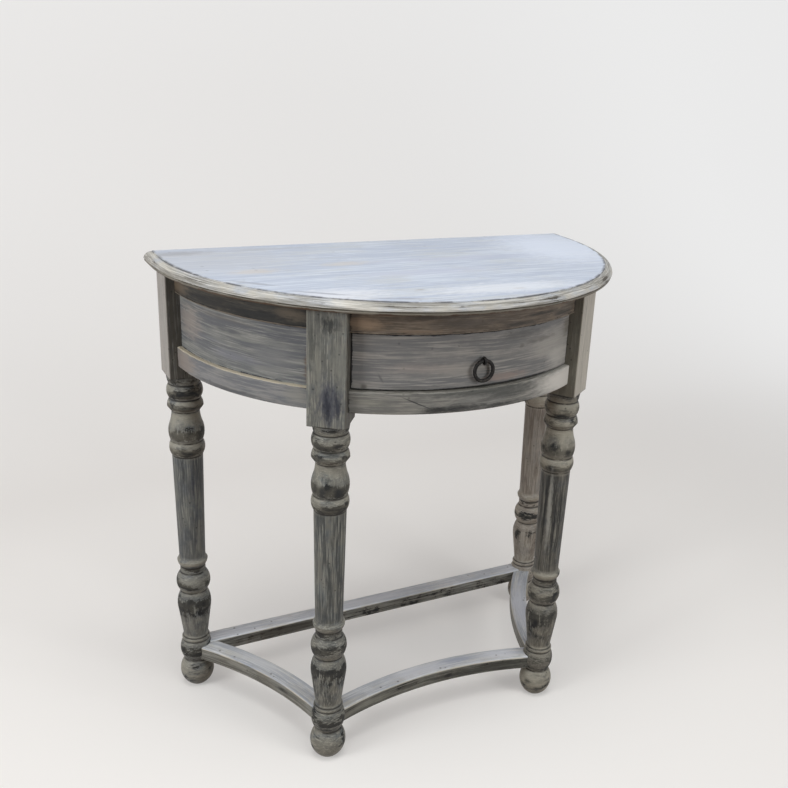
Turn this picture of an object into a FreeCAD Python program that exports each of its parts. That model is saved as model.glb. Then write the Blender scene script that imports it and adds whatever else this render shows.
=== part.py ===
# Half-round side table with four turned legs, bowed rails, low stretchers and one drawer with a ring pull.
# Millimetres and degrees. The origin is on the floor under the middle of the table, +Z is up and the
# straight back edge faces +Y.
import FreeCAD
import Part
import Sketcher
import math
import os
from types import SimpleNamespace

doc = FreeCAD.newDocument("demilune_table")

# Driving dimensions: name, value, meaning
dimensions = [
    ("table_height", 760, "floor to the upper face of the top"),
    ("top_radius", 379, "widest radius of the half-round top"),
    ("back_overhang", 41, "straight stretch of the top behind the back legs' line"),
    ("top_thickness", 17, "thickness of the top"),
    ("edge_run", 13, "width of the moulding round the flat of the top"),
    ("edge_step", 1.2, "drop from the flat to the moulding"),
    ("nose_rise", 6.5, "underside to the widest line of the moulding"),
    ("quirk_inset", 2.2, "depth of the groove between nose and lower bead"),
    ("bead_rise", 4.6, "height of the lower bead"),
    ("bead_inset", 1, "lower bead behind the nose"),
    ("under_inset", 4.5, "underside's rim behind the nose"),
    ("leg_inset", 43, "leg axes inside the top's edge"),
    ("front_leg_angle", 54, "front legs from the back legs' line"),
    ("post_width", 56, "side of the square posts"),
    ("post_height", 168.5, "height of the square posts under the top"),
    ("post_round", 1.5, "rounding of the posts' upright edges"),
    ("foot_flat_radius", 12, "flat under a foot"),
    ("foot_height", 52, "height of the ball foot"),
    ("foot_radius", 28, "ball foot"),
    ("foot_neck_radius", 19.5, "neck over the ball foot"),
    ("bulb_height", 39, "bulb that takes the stretchers"),
    ("bulb_radius", 26.5, "bulb that takes the stretchers"),
    ("bulb_top_radius", 21.6, "neck over the bulb"),
    ("ring_height", 7, "thin ring over the bulb"),
    ("ring_radius", 23.2, "thin ring over the bulb"),
    ("waist_height", 4, "from the thin ring to the waist"),
    ("waist_radius", 20.2, "thinnest place over the thin ring"),
    ("taper_height", 55, "taper of the long vase"),
    ("taper_radius", 27.4, "upper end of the vase's taper"),
    ("belly_height", 30.5, "round shoulder of the long vase"),
    ("belly_radius", 26.8, "half way up the vase's shoulder"),
    ("vase_neck_radius", 21, "neck over the long vase"),
    ("knob_height", 36.5, "round knob over the long vase"),
    ("knob_radius", 27.7, "round knob over the long vase"),
    ("sleeve_height", 12, "short sleeve over the knob"),
    ("sleeve_radius", 20.5, "short sleeve over the knob"),
    ("collar_height", 10.5, "collar at the foot of the shaft"),
    ("collar_radius", 24.7, "collar at the foot of the shaft"),
    ("cove_height", 8, "hollow from the collar to the shaft"),
    ("shaft_low_radius", 21.2, "foot of the tapered shaft"),
    ("shaft_top_radius", 24.2, "top of the tapered shaft"),
    ("crown_height", 24.2, "bead at the top of the shaft"),
    ("crown_radius", 28, "bead at the top of the shaft"),
    ("crown_neck_radius", 25, "neck over the top bead"),
    ("cup_height", 28.9, "round part of the short vase"),
    ("cup_radius", 28, "round part of the short vase"),
    ("cup_top_radius", 26, "where the short vase turns hollow"),
    ("throat_height", 21.5, "hollow part of the short vase"),
    ("throat_mid_radius", 22.9, "half way up the hollow part"),
    ("throat_radius", 21.7, "neck over the short vase"),
    ("bevel_height", 9, "bevelled underside of the ridge"),
    ("ridge_radius", 28, "sharp lower edge of the ridge"),
    ("ridge_height", 13, "rounded upper side of the ridge"),
    ("ridge_mid_radius", 27, "half way up the rounded side"),
    ("ridge_neck_radius", 24, "neck over the ridge"),
    ("bead_height", 24.5, "large bead under the post"),
    ("bead_radius", 28, "large bead under the post"),
    ("drum_neck_radius", 24.5, "neck over the large bead"),
    ("drum_height", 15, "drum between the large bead and the post"),
    ("drum_mid_radius", 26.5, "half way up the drum"),
    ("drum_radius", 27.3, "drum at the post"),
    ("apron_height", 148.5, "underside of the top to the bottom rails' lower edge"),
    ("rail_setback", 12.5, "rails behind the posts' outer faces"),
    ("rail_thickness", 24, "rails"),
    ("top_rail_height", 33, "rails under the top"),
    ("bottom_rail_height", 32, "rails under the drawer and panels"),
    ("rail_round", 2, "rounding of the rails' outer edges"),
    ("tenon_thickness", 10, "tenons of the rails"),
    ("tenon_length", 16, "tenons of the rails"),
    ("panel_setback", 7, "side panels behind the rails"),
    ("panel_thickness", 12, "side panels"),
    ("panel_tongue", 6, "side panels let into the rails"),
    ("back_rail_offset", 2, "back rail's front face behind the back legs' line"),
    ("back_rail_thickness", 20, "back rail"),
    ("stretcher_rise", 59, "floor to the underside of the bowed stretchers"),
    ("stretcher_height", 23, "bowed stretchers"),
    ("back_stretcher_rise", 61, "floor to the underside of the back stretcher"),
    ("back_stretcher_height", 23, "back stretcher"),
    ("stretcher_width", 31, "stretchers"),
    ("stretcher_bend", 576, "radius of the bowed stretchers' middle line"),
    ("stretcher_end", 12, "stretchers' ends from the leg axes"),
    ("stretcher_round", 3, "rounding of the stretchers' upper edges"),
    ("drawer_gap", 1.5, "gap round the drawer front"),
    ("drawer_setback", 7, "drawer front behind the rails"),
    ("drawer_front_thickness", 20, "drawer front"),
    ("drawer_front_round", 1.5, "rounding of the drawer front's outer edges"),
    ("drawer_post_clearance", 4, "drawer sides from the front posts"),
    ("drawer_side_thickness", 12, "drawer sides"),
    ("drawer_headroom", 3.2, "drawer sides under the kickers"),
    ("drawer_housing", 8, "drawer sides let into the drawer front"),
    ("drawer_back_thickness", 12, "drawer back"),
    ("drawer_back_inset", 8, "drawer back from the ends of the sides"),
    ("drawer_back_drop", 7, "drawer back lower than the sides"),
    ("drawer_bottom_thickness", 5, "drawer bottom"),
    ("drawer_bottom_rise", 9, "drawer bottom over the sides' lower edges"),
    ("drawer_groove", 5, "drawer bottom let into the sides and the front"),
    ("slide_clearance", 0.3, "drawer over its runners and off its stops"),
    ("guide_clearance", 0.6, "drawer sides from the guides"),
    ("strip_tenon", 8, "runners and kickers let into the rails"),
    ("runner_width", 28, "runners"),
    ("runner_height", 24, "runners"),
    ("guide_thickness", 12, "guides"),
    ("guide_rise", 18, "guides over the runners"),
    ("guide_post_clearance", 3, "guides from the front posts"),
    ("kicker_width", 30, "kickers"),
    ("stop_length", 22, "stops behind the drawer sides"),
    ("stop_height", 20, "stops"),
    ("screw_radius", 2.2, "screws that hold the top"),
    ("screw_head_radius", 4.5, "screw heads"),
    ("screw_head_height", 3, "screw heads"),
    ("screw_grip", 12, "screws in the top"),
    ("screw_first", 60, "rear screws in front of the back legs' line"),
    ("screw_spacing", 160, "rear screws to front screws"),
    ("pin_radius", 0.9, "drawer pins"),
    ("pin_length", 24, "drawer pins"),
    ("pin_spacing", 80, "pins along the drawer back"),
    ("eye_rise", 40, "eye over the lower edge of the drawer front"),
    ("eye_wire_radius", 1.6, "wire of the eye"),
    ("ring_wire_radius", 2.7, "wire of the ring pull"),
    ("ring_bend", 14.8, "middle line of the ring pull"),
    ("ring_clearance", 0.4, "ring in the eye"),
    ("shank_radius", 2.5, "shank of the eye"),
    ("washer_radius", 8, "washer behind the drawer front"),
    ("washer_thickness", 1.5, "washer behind the drawer front"),
    ("nut_radius", 5.5, "nut, over its corners"),
    ("nut_height", 5, "nut"),
    ("shank_end", 2, "shank past the nut"),
]

sheet = doc.addObject("Spreadsheet::Sheet", "dims")
for row, (alias, value, meaning) in enumerate(dimensions, 1):
    sheet.set(f"A{row}", alias)
    sheet.set(f"B{row}", str(value))
    sheet.set(f"C{row}", meaning)
    sheet.setAlias(f"B{row}", alias)
doc.recompute()


class Size:
    # A length, angle or ratio: its number, and the sheet expression that gives it
    def __init__(self, number, text):
        self.number = number
        self.text = text

    def __add__(self, other):
        other = size_of(other)
        return Size(self.number + other.number, f"({self.text} + {other.text})")

    def __sub__(self, other):
        other = size_of(other)
        return Size(self.number - other.number, f"({self.text} - {other.text})")

    def __rsub__(self, other):
        return size_of(other) - self

    def __mul__(self, other):
        other = size_of(other)
        return Size(self.number * other.number, f"({self.text} * {other.text})")

    def __truediv__(self, other):
        other = size_of(other)
        return Size(self.number / other.number, f"({self.text} / {other.text})")

    def __neg__(self):
        return 0 - self


def size_of(value):
    return value if isinstance(value, Size) else Size(float(value), str(float(value)))


def root(size):
    return Size(math.sqrt(size.number), f"sqrt({size.text})")


def sine(angle):
    return Size(math.sin(math.radians(angle.number)), f"sin({angle.text})")


def cosine(angle):
    return Size(math.cos(math.radians(angle.number)), f"cos({angle.text})")


def other_leg(hypotenuse, leg):
    return root(hypotenuse * hypotenuse - leg * leg)


d = SimpleNamespace(**{alias: Size(float(value), f"dims.{alias}") for alias, value, meaning in dimensions})


def bind(item, prop, value):
    item.setExpression(prop, size_of(value).text)


def place(item, x, y, z, turn=0):
    x, y, z, turn = (size_of(value) for value in (x, y, z, turn))
    spot = FreeCAD.Vector(x.number, y.number, z.number)
    item.Placement = FreeCAD.Placement(spot, FreeCAD.Rotation(FreeCAD.Vector(0, 0, 1), turn.number))
    for axis, value in zip("xyz", (x, y, z)):
        bind(item, f"Placement.Base.{axis}", value)
    bind(item, "Placement.Rotation.Angle", turn)
    return item


def place_tilted(item, x, y, z, tilt_axis):
    # the item's own Z axis lies along +X for a tilt about Y, and along -Y for a tilt about X
    item.Placement = FreeCAD.Placement(FreeCAD.Vector(), FreeCAD.Rotation(FreeCAD.Vector(*tilt_axis), 90))
    for axis, value in zip("xyz", (x, y, z)):
        bind(item, f"Placement.Base.{axis}", value)
    return item


def new_body(name):
    return doc.addObject("PartDesign::Body", name + "_body")


def flat_point(x, y):
    return FreeCAD.Vector(size_of(x).number, size_of(y).number, 0)


def outline(body, plane, corners, rise=0):
    # Closed outline through the corners. A corner is (x, y) after a straight run, or (x, y, bend_x, bend_y)
    # after an arc through its bend point.
    sketch = body.newObject("Sketcher::SketchObject", "outline")
    support = next(item for item in body.Origin.OriginFeatures if item.Role == plane)
    sketch.AttachmentSupport = [(support, "")]
    sketch.MapMode = "FlatFace"
    bind(sketch, "AttachmentOffset.Base.z", rise)
    rules = []
    held = []
    runs = []
    for before, corner in zip([corners[-1]] + corners, corners):
        start = flat_point(*before[:2])
        end = flat_point(*corner[:2])
        if len(corner) == 4:
            bend = flat_point(*corner[2:])
            run = sketch.addGeometry(Part.Arc(start, bend, end))
            mark = sketch.addGeometry(Part.Point(bend), True)
            rules.append(Sketcher.Constraint("PointOnObject", mark, 1, run))
            held.append((mark, 1, corner[2], corner[3]))
        else:
            run = sketch.addGeometry(Part.LineSegment(start, end))
        to_start = [sketch.getPoint(run, end_number).distanceToPoint(start) for end_number in (1, 2)]
        start_number = 1 if to_start[0] < to_start[1] else 2
        runs.append((run, start_number))
        held.append((run, 3 - start_number, corner[0], corner[1]))
    for (run, start_number), (next_run, next_start) in zip(runs, runs[1:] + runs[:1]):
        rules.append(Sketcher.Constraint("Coincident", run, 3 - start_number, next_run, next_start))
    sketch.addConstraint(rules)
    for geometry, point, x, y in held:
        for kind, value in (("DistanceX", size_of(x)), ("DistanceY", size_of(y))):
            rule = sketch.addConstraint(Sketcher.Constraint(kind, -1, 1, geometry, point, value.number))
            sketch.setExpression(f"Constraints[{rule}]", value.text)
    return sketch


def pad(body, sketch, length, reverse=False):
    feature = body.newObject("PartDesign::Pad", "pad")
    feature.Profile = sketch
    bind(feature, "Length", length)
    feature.Reversed = reverse
    doc.recompute()
    return feature


def revolve(body, sketch, angle, reverse=False):
    feature = body.newObject("PartDesign::Revolution", "turning")
    feature.Profile = sketch
    feature.ReferenceAxis = (sketch, ["V_Axis"])
    feature.Angle = angle
    feature.Reversed = reverse
    doc.recompute()
    return feature


def soften(body, base, radius, wanted):
    # rounds the edges of the base feature that the test picks
    edges = [f"Edge{number}" for number, edge in enumerate(base.Shape.Edges, 1) if wanted(edge)]
    feature = body.newObject("PartDesign::Fillet", "softened")
    feature.Base = (base, edges)
    bind(feature, "Radius", radius)
    doc.recompute()


def level(edge):
    # the height of a level edge, or None for any other edge
    box = edge.BoundBox
    return box.ZMin if box.ZLength < 1e-6 else None


def near(value, size):
    return value is not None and abs(value - size.number) < 1e-4


def box(name, x, y, z, length, width, height):
    item = doc.addObject("Part::Box", name)
    for prop, value in (("Length", length), ("Width", width), ("Height", height)):
        bind(item, prop, value)
    return place(item, x, y, z)


def cylinder(name, radius, height):
    item = doc.addObject("Part::Cylinder", name)
    bind(item, "Radius", radius)
    bind(item, "Height", height)
    return item


def torus(name, bend, wire):
    item = doc.addObject("Part::Torus", name)
    bind(item, "Radius1", bend)
    bind(item, "Radius2", wire)
    return item


def fuse(name, *items):
    joined = doc.addObject("Part::MultiFuse", name)
    joined.Shapes = list(items)
    return joined


def group(name, items):
    gathered = doc.addObject("Part::Compound", name)
    gathered.Links = items
    return gathered


def fitted(name, blank, *let_in):
    # the blank, with the exact room for each piece that is let into it
    for piece in let_in:
        cut = doc.addObject("Part::Cut", name)
        cut.Base = blank
        cut.Tool = piece
        blank = cut
    return blank


nodes = {}

# Levels and lines that several pieces share. The bow of the top, rails and legs is centred on the back
# legs' line.
half_post = d.post_width / 2
leg_circle = d.top_radius - d.leg_inset
rail_radius = leg_circle + half_post - d.rail_setback
underside = d.table_height - d.top_thickness
leg_line = (d.top_radius - d.back_overhang) / 2
opening_floor = underside - d.apron_height + d.bottom_rail_height
opening_ceiling = underside - d.top_rail_height
side_half_turn = d.front_leg_angle / 2
front_half_turn = 90 - d.front_leg_angle
rail_inside = rail_radius - d.rail_thickness

bays = {
    "right": (-side_half_turn, side_half_turn),
    "left": (side_half_turn - 180, side_half_turn),
    "front": (size_of(-90), front_half_turn),
}
sides = {"left": -1, "right": 1}


# Top: the moulded edge turned through half a circle, then carried straight to the back edge
def top_section(side):
    arc_middle = math.sqrt(0.5)
    rim = d.top_radius - d.under_inset
    bead_span = d.under_inset - d.bead_inset
    flat = d.top_radius - d.edge_run
    nose = underside + d.nose_rise
    shoulder = d.table_height - d.edge_step
    corners = [
        (0, underside),
        (rim, underside),
        (d.top_radius - d.bead_inset, underside + d.bead_rise,
         rim + bead_span * arc_middle, underside + d.bead_rise * (1 - arc_middle)),
        (d.top_radius - d.quirk_inset, underside + (d.bead_rise + d.nose_rise) / 2),
        (d.top_radius, nose),
        (flat, shoulder, flat + d.edge_run * arc_middle, nose + (shoulder - nose) * arc_middle),
        (flat, d.table_height),
        (0, d.table_height),
    ]
    return [tuple(size_of(value) * (side if number % 2 == 0 else 1) for number, value in enumerate(corner))
            for corner in corners]


top = place(new_body("table_top"), 0, leg_line, 0)
revolve(top, outline(top, "XZ_Plane", top_section(1)), 180, reverse=True)
for side in sides.values():
    pad(top, outline(top, "XZ_Plane", top_section(side)), d.back_overhang, reverse=True)


# Rails, panels and drawer front: pieces of a bay between two posts, in a frame whose X axis points from the
# middle of the bow to the middle of the bay
def beside_post(along, aside, half_turn):
    # a point at a distance along the line to a post's axis, and aside from it towards the middle of the bay
    return (along * cosine(half_turn) + aside * sine(half_turn),
            along * sine(half_turn) - aside * cosine(half_turn))


def bow(outer, inner, aside, half_turn, tenon=False):
    outer_end = beside_post(other_leg(outer, aside), aside, half_turn)
    inner_end = beside_post(other_leg(inner, aside), aside, half_turn)
    shape = []
    if tenon:
        middle = (outer + inner) / 2
        half = d.tenon_thickness / 2
        reach = aside - d.tenon_length
        outside = middle + half
        inside = middle - half
        spots = [(outside, aside), (outside, reach), (inside, reach), (inside, aside)]
        shape = [beside_post(along, off, half_turn) for along, off in spots]
    mirrored = [(x, -y) for x, y in reversed(shape)]
    return ([(*outer_end, outer, 0)] + shape + [inner_end]
            + [(inner_end[0], -inner_end[1], inner, 0)] + mirrored + [(outer_end[0], -outer_end[1])])


def bowed_piece(name, bay, corners, floor, height):
    body = place(new_body(name), 0, leg_line, 0, bays[bay][0])
    return body, pad(body, outline(body, "XY_Plane", corners, floor), height)


def rail(name, bay, floor, height, rounded_levels):
    corners = bow(rail_radius, rail_inside, half_post, bays[bay][1], tenon=True)
    body, base = bowed_piece(name, bay, corners, floor, height)

    def outer_edge(edge):
        on_face = isinstance(edge.Curve, Part.Circle) and near(edge.Curve.Radius, rail_radius)
        return on_face and any(near(level(edge), rounded) for rounded in rounded_levels)

    soften(body, base, d.rail_round, outer_edge)
    return body


def side_panel(name, bay):
    face = rail_radius - d.panel_setback
    corners = bow(face, face - d.panel_thickness, half_post, bays[bay][1])
    floor = opening_floor - d.panel_tongue
    return bowed_piece(name, bay, corners, floor, opening_ceiling + d.panel_tongue - floor)[0]


rail_floor = underside - d.apron_height
top_rails = {
    bay: rail(f"{bay}_top_rail", bay, opening_ceiling, d.top_rail_height, [opening_ceiling]) for bay in bays
}
bottom_rails = {
    bay: rail(f"{bay}_bottom_rail", bay, rail_floor, d.bottom_rail_height, [rail_floor, opening_floor])
    for bay in bays
}
for bay in sides:
    panel = side_panel(f"side_panel_{bay}", bay)
    nodes[f"side_panel_{bay}"] = panel
    for rails, level_name in ((top_rails, "top"), (bottom_rails, "bottom")):
        name = f"side_{level_name}_rail_{bay}"
        nodes[name] = fitted(name, rails[bay], panel)

# Back rail: a straight board between the back posts, with a tenon at each end
board_half = leg_circle - half_post
board_front = leg_line + d.back_rail_offset
tongue_front = board_front + (d.back_rail_thickness - d.tenon_thickness) / 2
tongue_half = board_half + d.tenon_length
board = box("board", -board_half, board_front, rail_floor,
            board_half * 2, d.back_rail_thickness, d.apron_height)
tongue = box("tongue", -tongue_half, tongue_front, rail_floor,
             tongue_half * 2, d.tenon_thickness, d.apron_height)
back_board = fuse("back_board", board, tongue)


# Stretchers: three bars that bow towards the middle of the table, and a straight one at the back
def soften_bar(body, base, top_level):
    def long_top_edge(edge):
        return near(level(edge), top_level) and edge.Length > 2 * d.stretcher_width.number

    soften(body, base, d.stretcher_round, long_top_edge)
    return body


def bowed_stretcher(name, bay):
    half_turn = bays[bay][1]
    half_span = leg_circle * sine(half_turn)
    bend_middle = leg_circle * cosine(half_turn) + other_leg(d.stretcher_bend, half_span)
    end = half_span - d.stretcher_end
    near_bend = d.stretcher_bend - d.stretcher_width / 2
    far_bend = d.stretcher_bend + d.stretcher_width / 2
    outer = bend_middle - other_leg(near_bend, end)
    inner = bend_middle - other_leg(far_bend, end)
    corners = [
        (outer, end, bend_middle - near_bend, 0),
        (inner, end),
        (inner, -end, bend_middle - far_bend, 0),
        (outer, -end),
    ]
    body, base = bowed_piece(name, bay, corners, d.stretcher_rise, d.stretcher_height)
    return soften_bar(body, base, d.stretcher_rise + d.stretcher_height)


def straight_stretcher(name):
    end = leg_circle - d.stretcher_end
    half = d.stretcher_width / 2
    corners = [(end, -half), (end, half), (-end, half), (-end, -half)]
    body = place(new_body(name), 0, leg_line, 0)
    base = pad(body, outline(body, "XY_Plane", corners, d.back_stretcher_rise), d.back_stretcher_height)
    return soften_bar(body, base, d.back_stretcher_rise + d.back_stretcher_height)


stretchers = {bay: bowed_stretcher(f"stretcher_{bay}", bay) for bay in bays}
for bay, bar in stretchers.items():
    nodes[f"stretcher_{bay}"] = bar
nodes["stretcher_back"] = fitted("stretcher_back", straight_stretcher("stretcher_back"),
                                 stretchers["left"], stretchers["right"])


# Strips and boards that run from front to back, with a front end that follows the bow
def strip(name, side, inner, outer, bow_radius, back, floor, height):
    middle = (inner + outer) / 2
    corners = [
        (outer * side, -other_leg(bow_radius, outer), middle * side, -other_leg(bow_radius, middle)),
        (outer * side, back),
        (inner * side, back),
        (inner * side, -other_leg(bow_radius, inner)),
    ]
    body = place(new_body(name), 0, leg_line, 0)
    pad(body, outline(body, "XY_Plane", corners, floor), height)
    return body


# Drawer: half width, and lengths from the back legs' line
post_corner_x = (leg_circle - half_post) * cosine(d.front_leg_angle) - half_post * sine(d.front_leg_angle)
post_corner_y = (leg_circle - half_post) * sine(d.front_leg_angle) - half_post * cosine(d.front_leg_angle)
drawer_half = post_corner_x - d.drawer_post_clearance
drawer_face = rail_radius - d.drawer_setback
drawer_inside = drawer_face - d.drawer_front_thickness
drawer_floor = opening_floor + d.slide_clearance
drawer_side_height = opening_ceiling - d.drawer_headroom - drawer_floor
front_floor = opening_floor + d.drawer_gap
side_inner = drawer_half - d.drawer_side_thickness
side_end = d.back_rail_offset - d.stop_length - d.slide_clearance
back_end = side_end - d.drawer_back_inset
drawer_bottom_floor = drawer_floor + d.drawer_bottom_rise
back_floor = drawer_bottom_floor + d.drawer_bottom_thickness
back_height = drawer_floor + drawer_side_height - d.drawer_back_drop - back_floor


def drawer_front_blank():
    corners = bow(drawer_face, drawer_inside, half_post + d.drawer_gap, front_half_turn)
    height = opening_ceiling - d.drawer_gap - front_floor
    body, base = bowed_piece("drawer_front", "front", corners, front_floor, height)

    def outer_edge(edge):
        return isinstance(edge.Curve, Part.Circle) and near(edge.Curve.Radius, drawer_face)

    soften(body, base, d.drawer_front_round, outer_edge)
    return body


def drawer_bottom_blank():
    half = side_inner + d.drawer_groove
    bow_radius = drawer_inside + d.drawer_groove
    corners = [
        (half, -other_leg(bow_radius, half), 0, -bow_radius),
        (half, back_end),
        (-half, back_end),
        (-half, -other_leg(bow_radius, half)),
    ]
    body = place(new_body("drawer_bottom"), 0, leg_line, 0)
    pad(body, outline(body, "XY_Plane", corners, drawer_bottom_floor), d.drawer_bottom_thickness)
    return body


def drawer_pins():
    pins = []
    middle = leg_line + back_end - d.drawer_back_thickness / 2
    for side in sides.values():
        for share in (1, 2):
            pin = cylinder("side_pin", d.pin_radius, d.pin_length)
            start = drawer_half if side > 0 else d.pin_length - drawer_half
            place_tilted(pin, start - d.pin_length, middle, back_floor + back_height * share / 3, (0, 1, 0))
            pins.append(pin)
    for step in (-1, 0, 1):
        pin = cylinder("bottom_pin", d.pin_radius, d.pin_length)
        pins.append(place(pin, d.pin_spacing * step, middle, drawer_bottom_floor))
    return group("drawer_pins", pins)


bottom_blank = drawer_bottom_blank()
pins = drawer_pins()
side_blanks = {
    name: strip(f"drawer_side_{name}", side, side_inner, drawer_half, drawer_inside + d.drawer_housing,
                side_end, drawer_floor, drawer_side_height)
    for name, side in sides.items()
}
back_blank = box("back_blank", -side_inner, leg_line + back_end - d.drawer_back_thickness, back_floor,
                 side_inner * 2, d.drawer_back_thickness, back_height)
nodes["drawer_pins"] = pins
nodes["drawer_bottom"] = fitted("drawer_bottom", bottom_blank, pins)
nodes["drawer_back"] = fitted("drawer_back", back_blank, pins)
for name, blank in side_blanks.items():
    nodes[f"drawer_side_{name}"] = fitted(f"drawer_side_{name}", blank, bottom_blank, pins)

# Ring pull: an eye on a shank through the drawer front, held by a washer and a nut, and a hanging ring
eye_bend = d.ring_wire_radius + d.ring_clearance + d.eye_wire_radius
eye_y = leg_line - drawer_face - eye_bend - d.eye_wire_radius
eye_z = front_floor + d.eye_rise
washer_y = leg_line - other_leg(drawer_inside, d.washer_radius)
nut_y = washer_y + d.washer_thickness
shank_tip = nut_y + d.nut_height + d.shank_end
loop = place_tilted(torus("loop", eye_bend, d.eye_wire_radius), 0, eye_y, eye_z, (0, 1, 0))
shank = cylinder("shank", d.shank_radius, shank_tip - eye_y - eye_bend)
place_tilted(shank, 0, shank_tip, eye_z, (1, 0, 0))
pull_eye = fuse("pull_eye", loop, shank)
washer = cylinder("washer", d.washer_radius, d.washer_thickness)
place_tilted(washer, 0, nut_y, eye_z, (1, 0, 0))
nut = doc.addObject("Part::Prism", "nut")
nut.Polygon = 6
bind(nut, "Circumradius", d.nut_radius)
bind(nut, "Height", d.nut_height)
place_tilted(nut, 0, nut_y + d.nut_height, eye_z, (1, 0, 0))
pull_ring = torus("pull_ring", d.ring_bend, d.ring_wire_radius)
nodes["pull_eye"] = pull_eye
nodes["pull_washer"] = fitted("pull_washer", washer, pull_eye)
nodes["pull_nut"] = fitted("pull_nut", nut, pull_eye)
nodes["pull_ring"] = place_tilted(pull_ring, 0, eye_y, eye_z - d.ring_bend, (1, 0, 0))
nodes["drawer_front"] = fitted("drawer_front", drawer_front_blank(), *side_blanks.values(),
                               bottom_blank, pull_eye)


# Runners, guides, kickers and stops that carry the drawer, and the screws that hold the top to the kickers
def top_screws():
    screws = []
    length = d.top_rail_height + d.screw_grip
    for side in sides.values():
        for step in (0, 1):
            x = (drawer_half - d.kicker_width / 2) * side
            y = leg_line - d.screw_first - d.screw_spacing * step
            stem = place(cylinder("screw_stem", d.screw_radius, length), x, y, opening_ceiling)
            head = doc.addObject("Part::Cone", "screw_head")
            bind(head, "Radius1", d.screw_head_radius)
            bind(head, "Radius2", d.screw_radius)
            bind(head, "Height", d.screw_head_height)
            place(head, x, y, opening_ceiling)
            screws.append(fuse("top_screw", stem, head))
    return group("top_screws", screws)


screws = top_screws()
strip_bow = rail_inside + d.strip_tenon
strip_back = d.back_rail_offset + d.strip_tenon
guide_inner = drawer_half + d.guide_clearance
runners = []
kickers = []
stops = []
for name, side in sides.items():
    runner = strip(f"drawer_runner_{name}", side, guide_inner - d.runner_width, guide_inner, strip_bow,
                   strip_back, opening_floor - d.runner_height, d.runner_height)
    kicker = strip(f"drawer_kicker_{name}", side, drawer_half - d.kicker_width, drawer_half, strip_bow,
                   strip_back, opening_ceiling, d.top_rail_height)
    runners.append(runner)
    kickers.append(kicker)
    nodes[f"drawer_runner_{name}"] = runner
    nodes[f"drawer_kicker_{name}"] = fitted(f"drawer_kicker_{name}", kicker, screws)
    guide_length = post_corner_y - d.guide_post_clearance + d.back_rail_offset
    nodes[f"drawer_guide_{name}"] = box(
        f"drawer_guide_{name}", guide_inner if side > 0 else -guide_inner - d.guide_thickness,
        board_front - guide_length, opening_floor - d.runner_height,
        d.guide_thickness, guide_length, d.runner_height + d.guide_rise)
    stops.append(box("stop", side_inner if side > 0 else -drawer_half, board_front - d.stop_length,
                     opening_floor, d.drawer_side_thickness, d.stop_length, d.stop_height))
nodes["drawer_stops"] = group("drawer_stops", stops)
nodes["top_screws"] = screws
nodes["table_top"] = fitted("table_top", top, screws)
nodes["front_top_rail"] = fitted("front_top_rail", top_rails["front"], *kickers)
nodes["front_bottom_rail"] = fitted("front_bottom_rail", bottom_rails["front"], *runners)
nodes["back_rail"] = fitted("back_rail", back_board, *runners, *kickers)


# Legs: a turned shape under a square post, in a frame on the leg's axis whose X axis points outwards
def turned_shape():
    post_floor = underside - d.post_height
    foot_top = d.foot_height
    bulb_top = foot_top + d.bulb_height
    ring_top = bulb_top + d.ring_height
    waist = ring_top + d.waist_height
    taper_top = waist + d.taper_height
    vase_top = taper_top + d.belly_height
    knob_top = vase_top + d.knob_height
    sleeve_top = knob_top + d.sleeve_height
    collar_top = sleeve_top + d.collar_height
    shaft_floor = collar_top + d.cove_height
    drum_floor = post_floor - d.drum_height
    bead_floor = drum_floor - d.bead_height
    ridge = bead_floor - d.ridge_height
    throat_top = ridge - d.bevel_height
    cup_top = throat_top - d.throat_height
    cup_floor = cup_top - d.cup_height
    shaft_top = cup_floor - d.crown_height
    cove_middle = (d.collar_radius + d.shaft_low_radius * 2) / 3
    collar_middle = (d.collar_radius * 3 + d.sleeve_radius) / 4
    return [
        (0, 0),
        (d.foot_flat_radius, 0),
        (d.foot_neck_radius, foot_top, d.foot_radius, foot_top / 2),
        (d.bulb_top_radius, bulb_top, d.bulb_radius, (foot_top + bulb_top) / 2),
        (d.bulb_top_radius, ring_top, d.ring_radius, (bulb_top + ring_top) / 2),
        (d.waist_radius, waist),
        (d.taper_radius, taper_top),
        (d.vase_neck_radius, vase_top, d.belly_radius, (taper_top + vase_top) / 2),
        (d.sleeve_radius, knob_top, d.knob_radius, (vase_top + knob_top) / 2),
        (d.sleeve_radius, sleeve_top),
        (d.collar_radius, collar_top, collar_middle, (sleeve_top + collar_top) / 2),
        (d.shaft_low_radius, shaft_floor, cove_middle, (collar_top + shaft_floor) / 2),
        (d.shaft_top_radius, shaft_top),
        (d.crown_neck_radius, cup_floor, d.crown_radius, (shaft_top + cup_floor) / 2),
        (d.cup_top_radius, cup_top, d.cup_radius, (cup_floor + cup_top) / 2),
        (d.throat_radius, throat_top, d.throat_mid_radius, (cup_top + throat_top) / 2),
        (d.ridge_radius, ridge),
        (d.ridge_neck_radius, bead_floor, d.ridge_mid_radius, (ridge + bead_floor) / 2),
        (d.drum_neck_radius, drum_floor, d.bead_radius, (bead_floor + drum_floor) / 2),
        (d.drum_radius, post_floor, d.drum_mid_radius, (drum_floor + post_floor) / 2),
        (0, post_floor),
    ]


def leg_blank(name, angle):
    body = new_body(name)
    place(body, leg_circle * cosine(angle), leg_line + leg_circle * sine(angle), 0, angle)
    revolve(body, outline(body, "XZ_Plane", turned_shape()), 360)
    square = [(half_post * x, half_post * y) for x, y in ((1, -1), (1, 1), (-1, 1), (-1, -1))]
    base = pad(body, outline(body, "XY_Plane", square, underside - d.post_height), d.post_height)

    def upright_edge(edge):
        return near(edge.BoundBox.ZLength, d.post_height) and isinstance(edge.Curve, Part.Line)

    soften(body, base, d.post_round, upright_edge)
    return body


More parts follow.
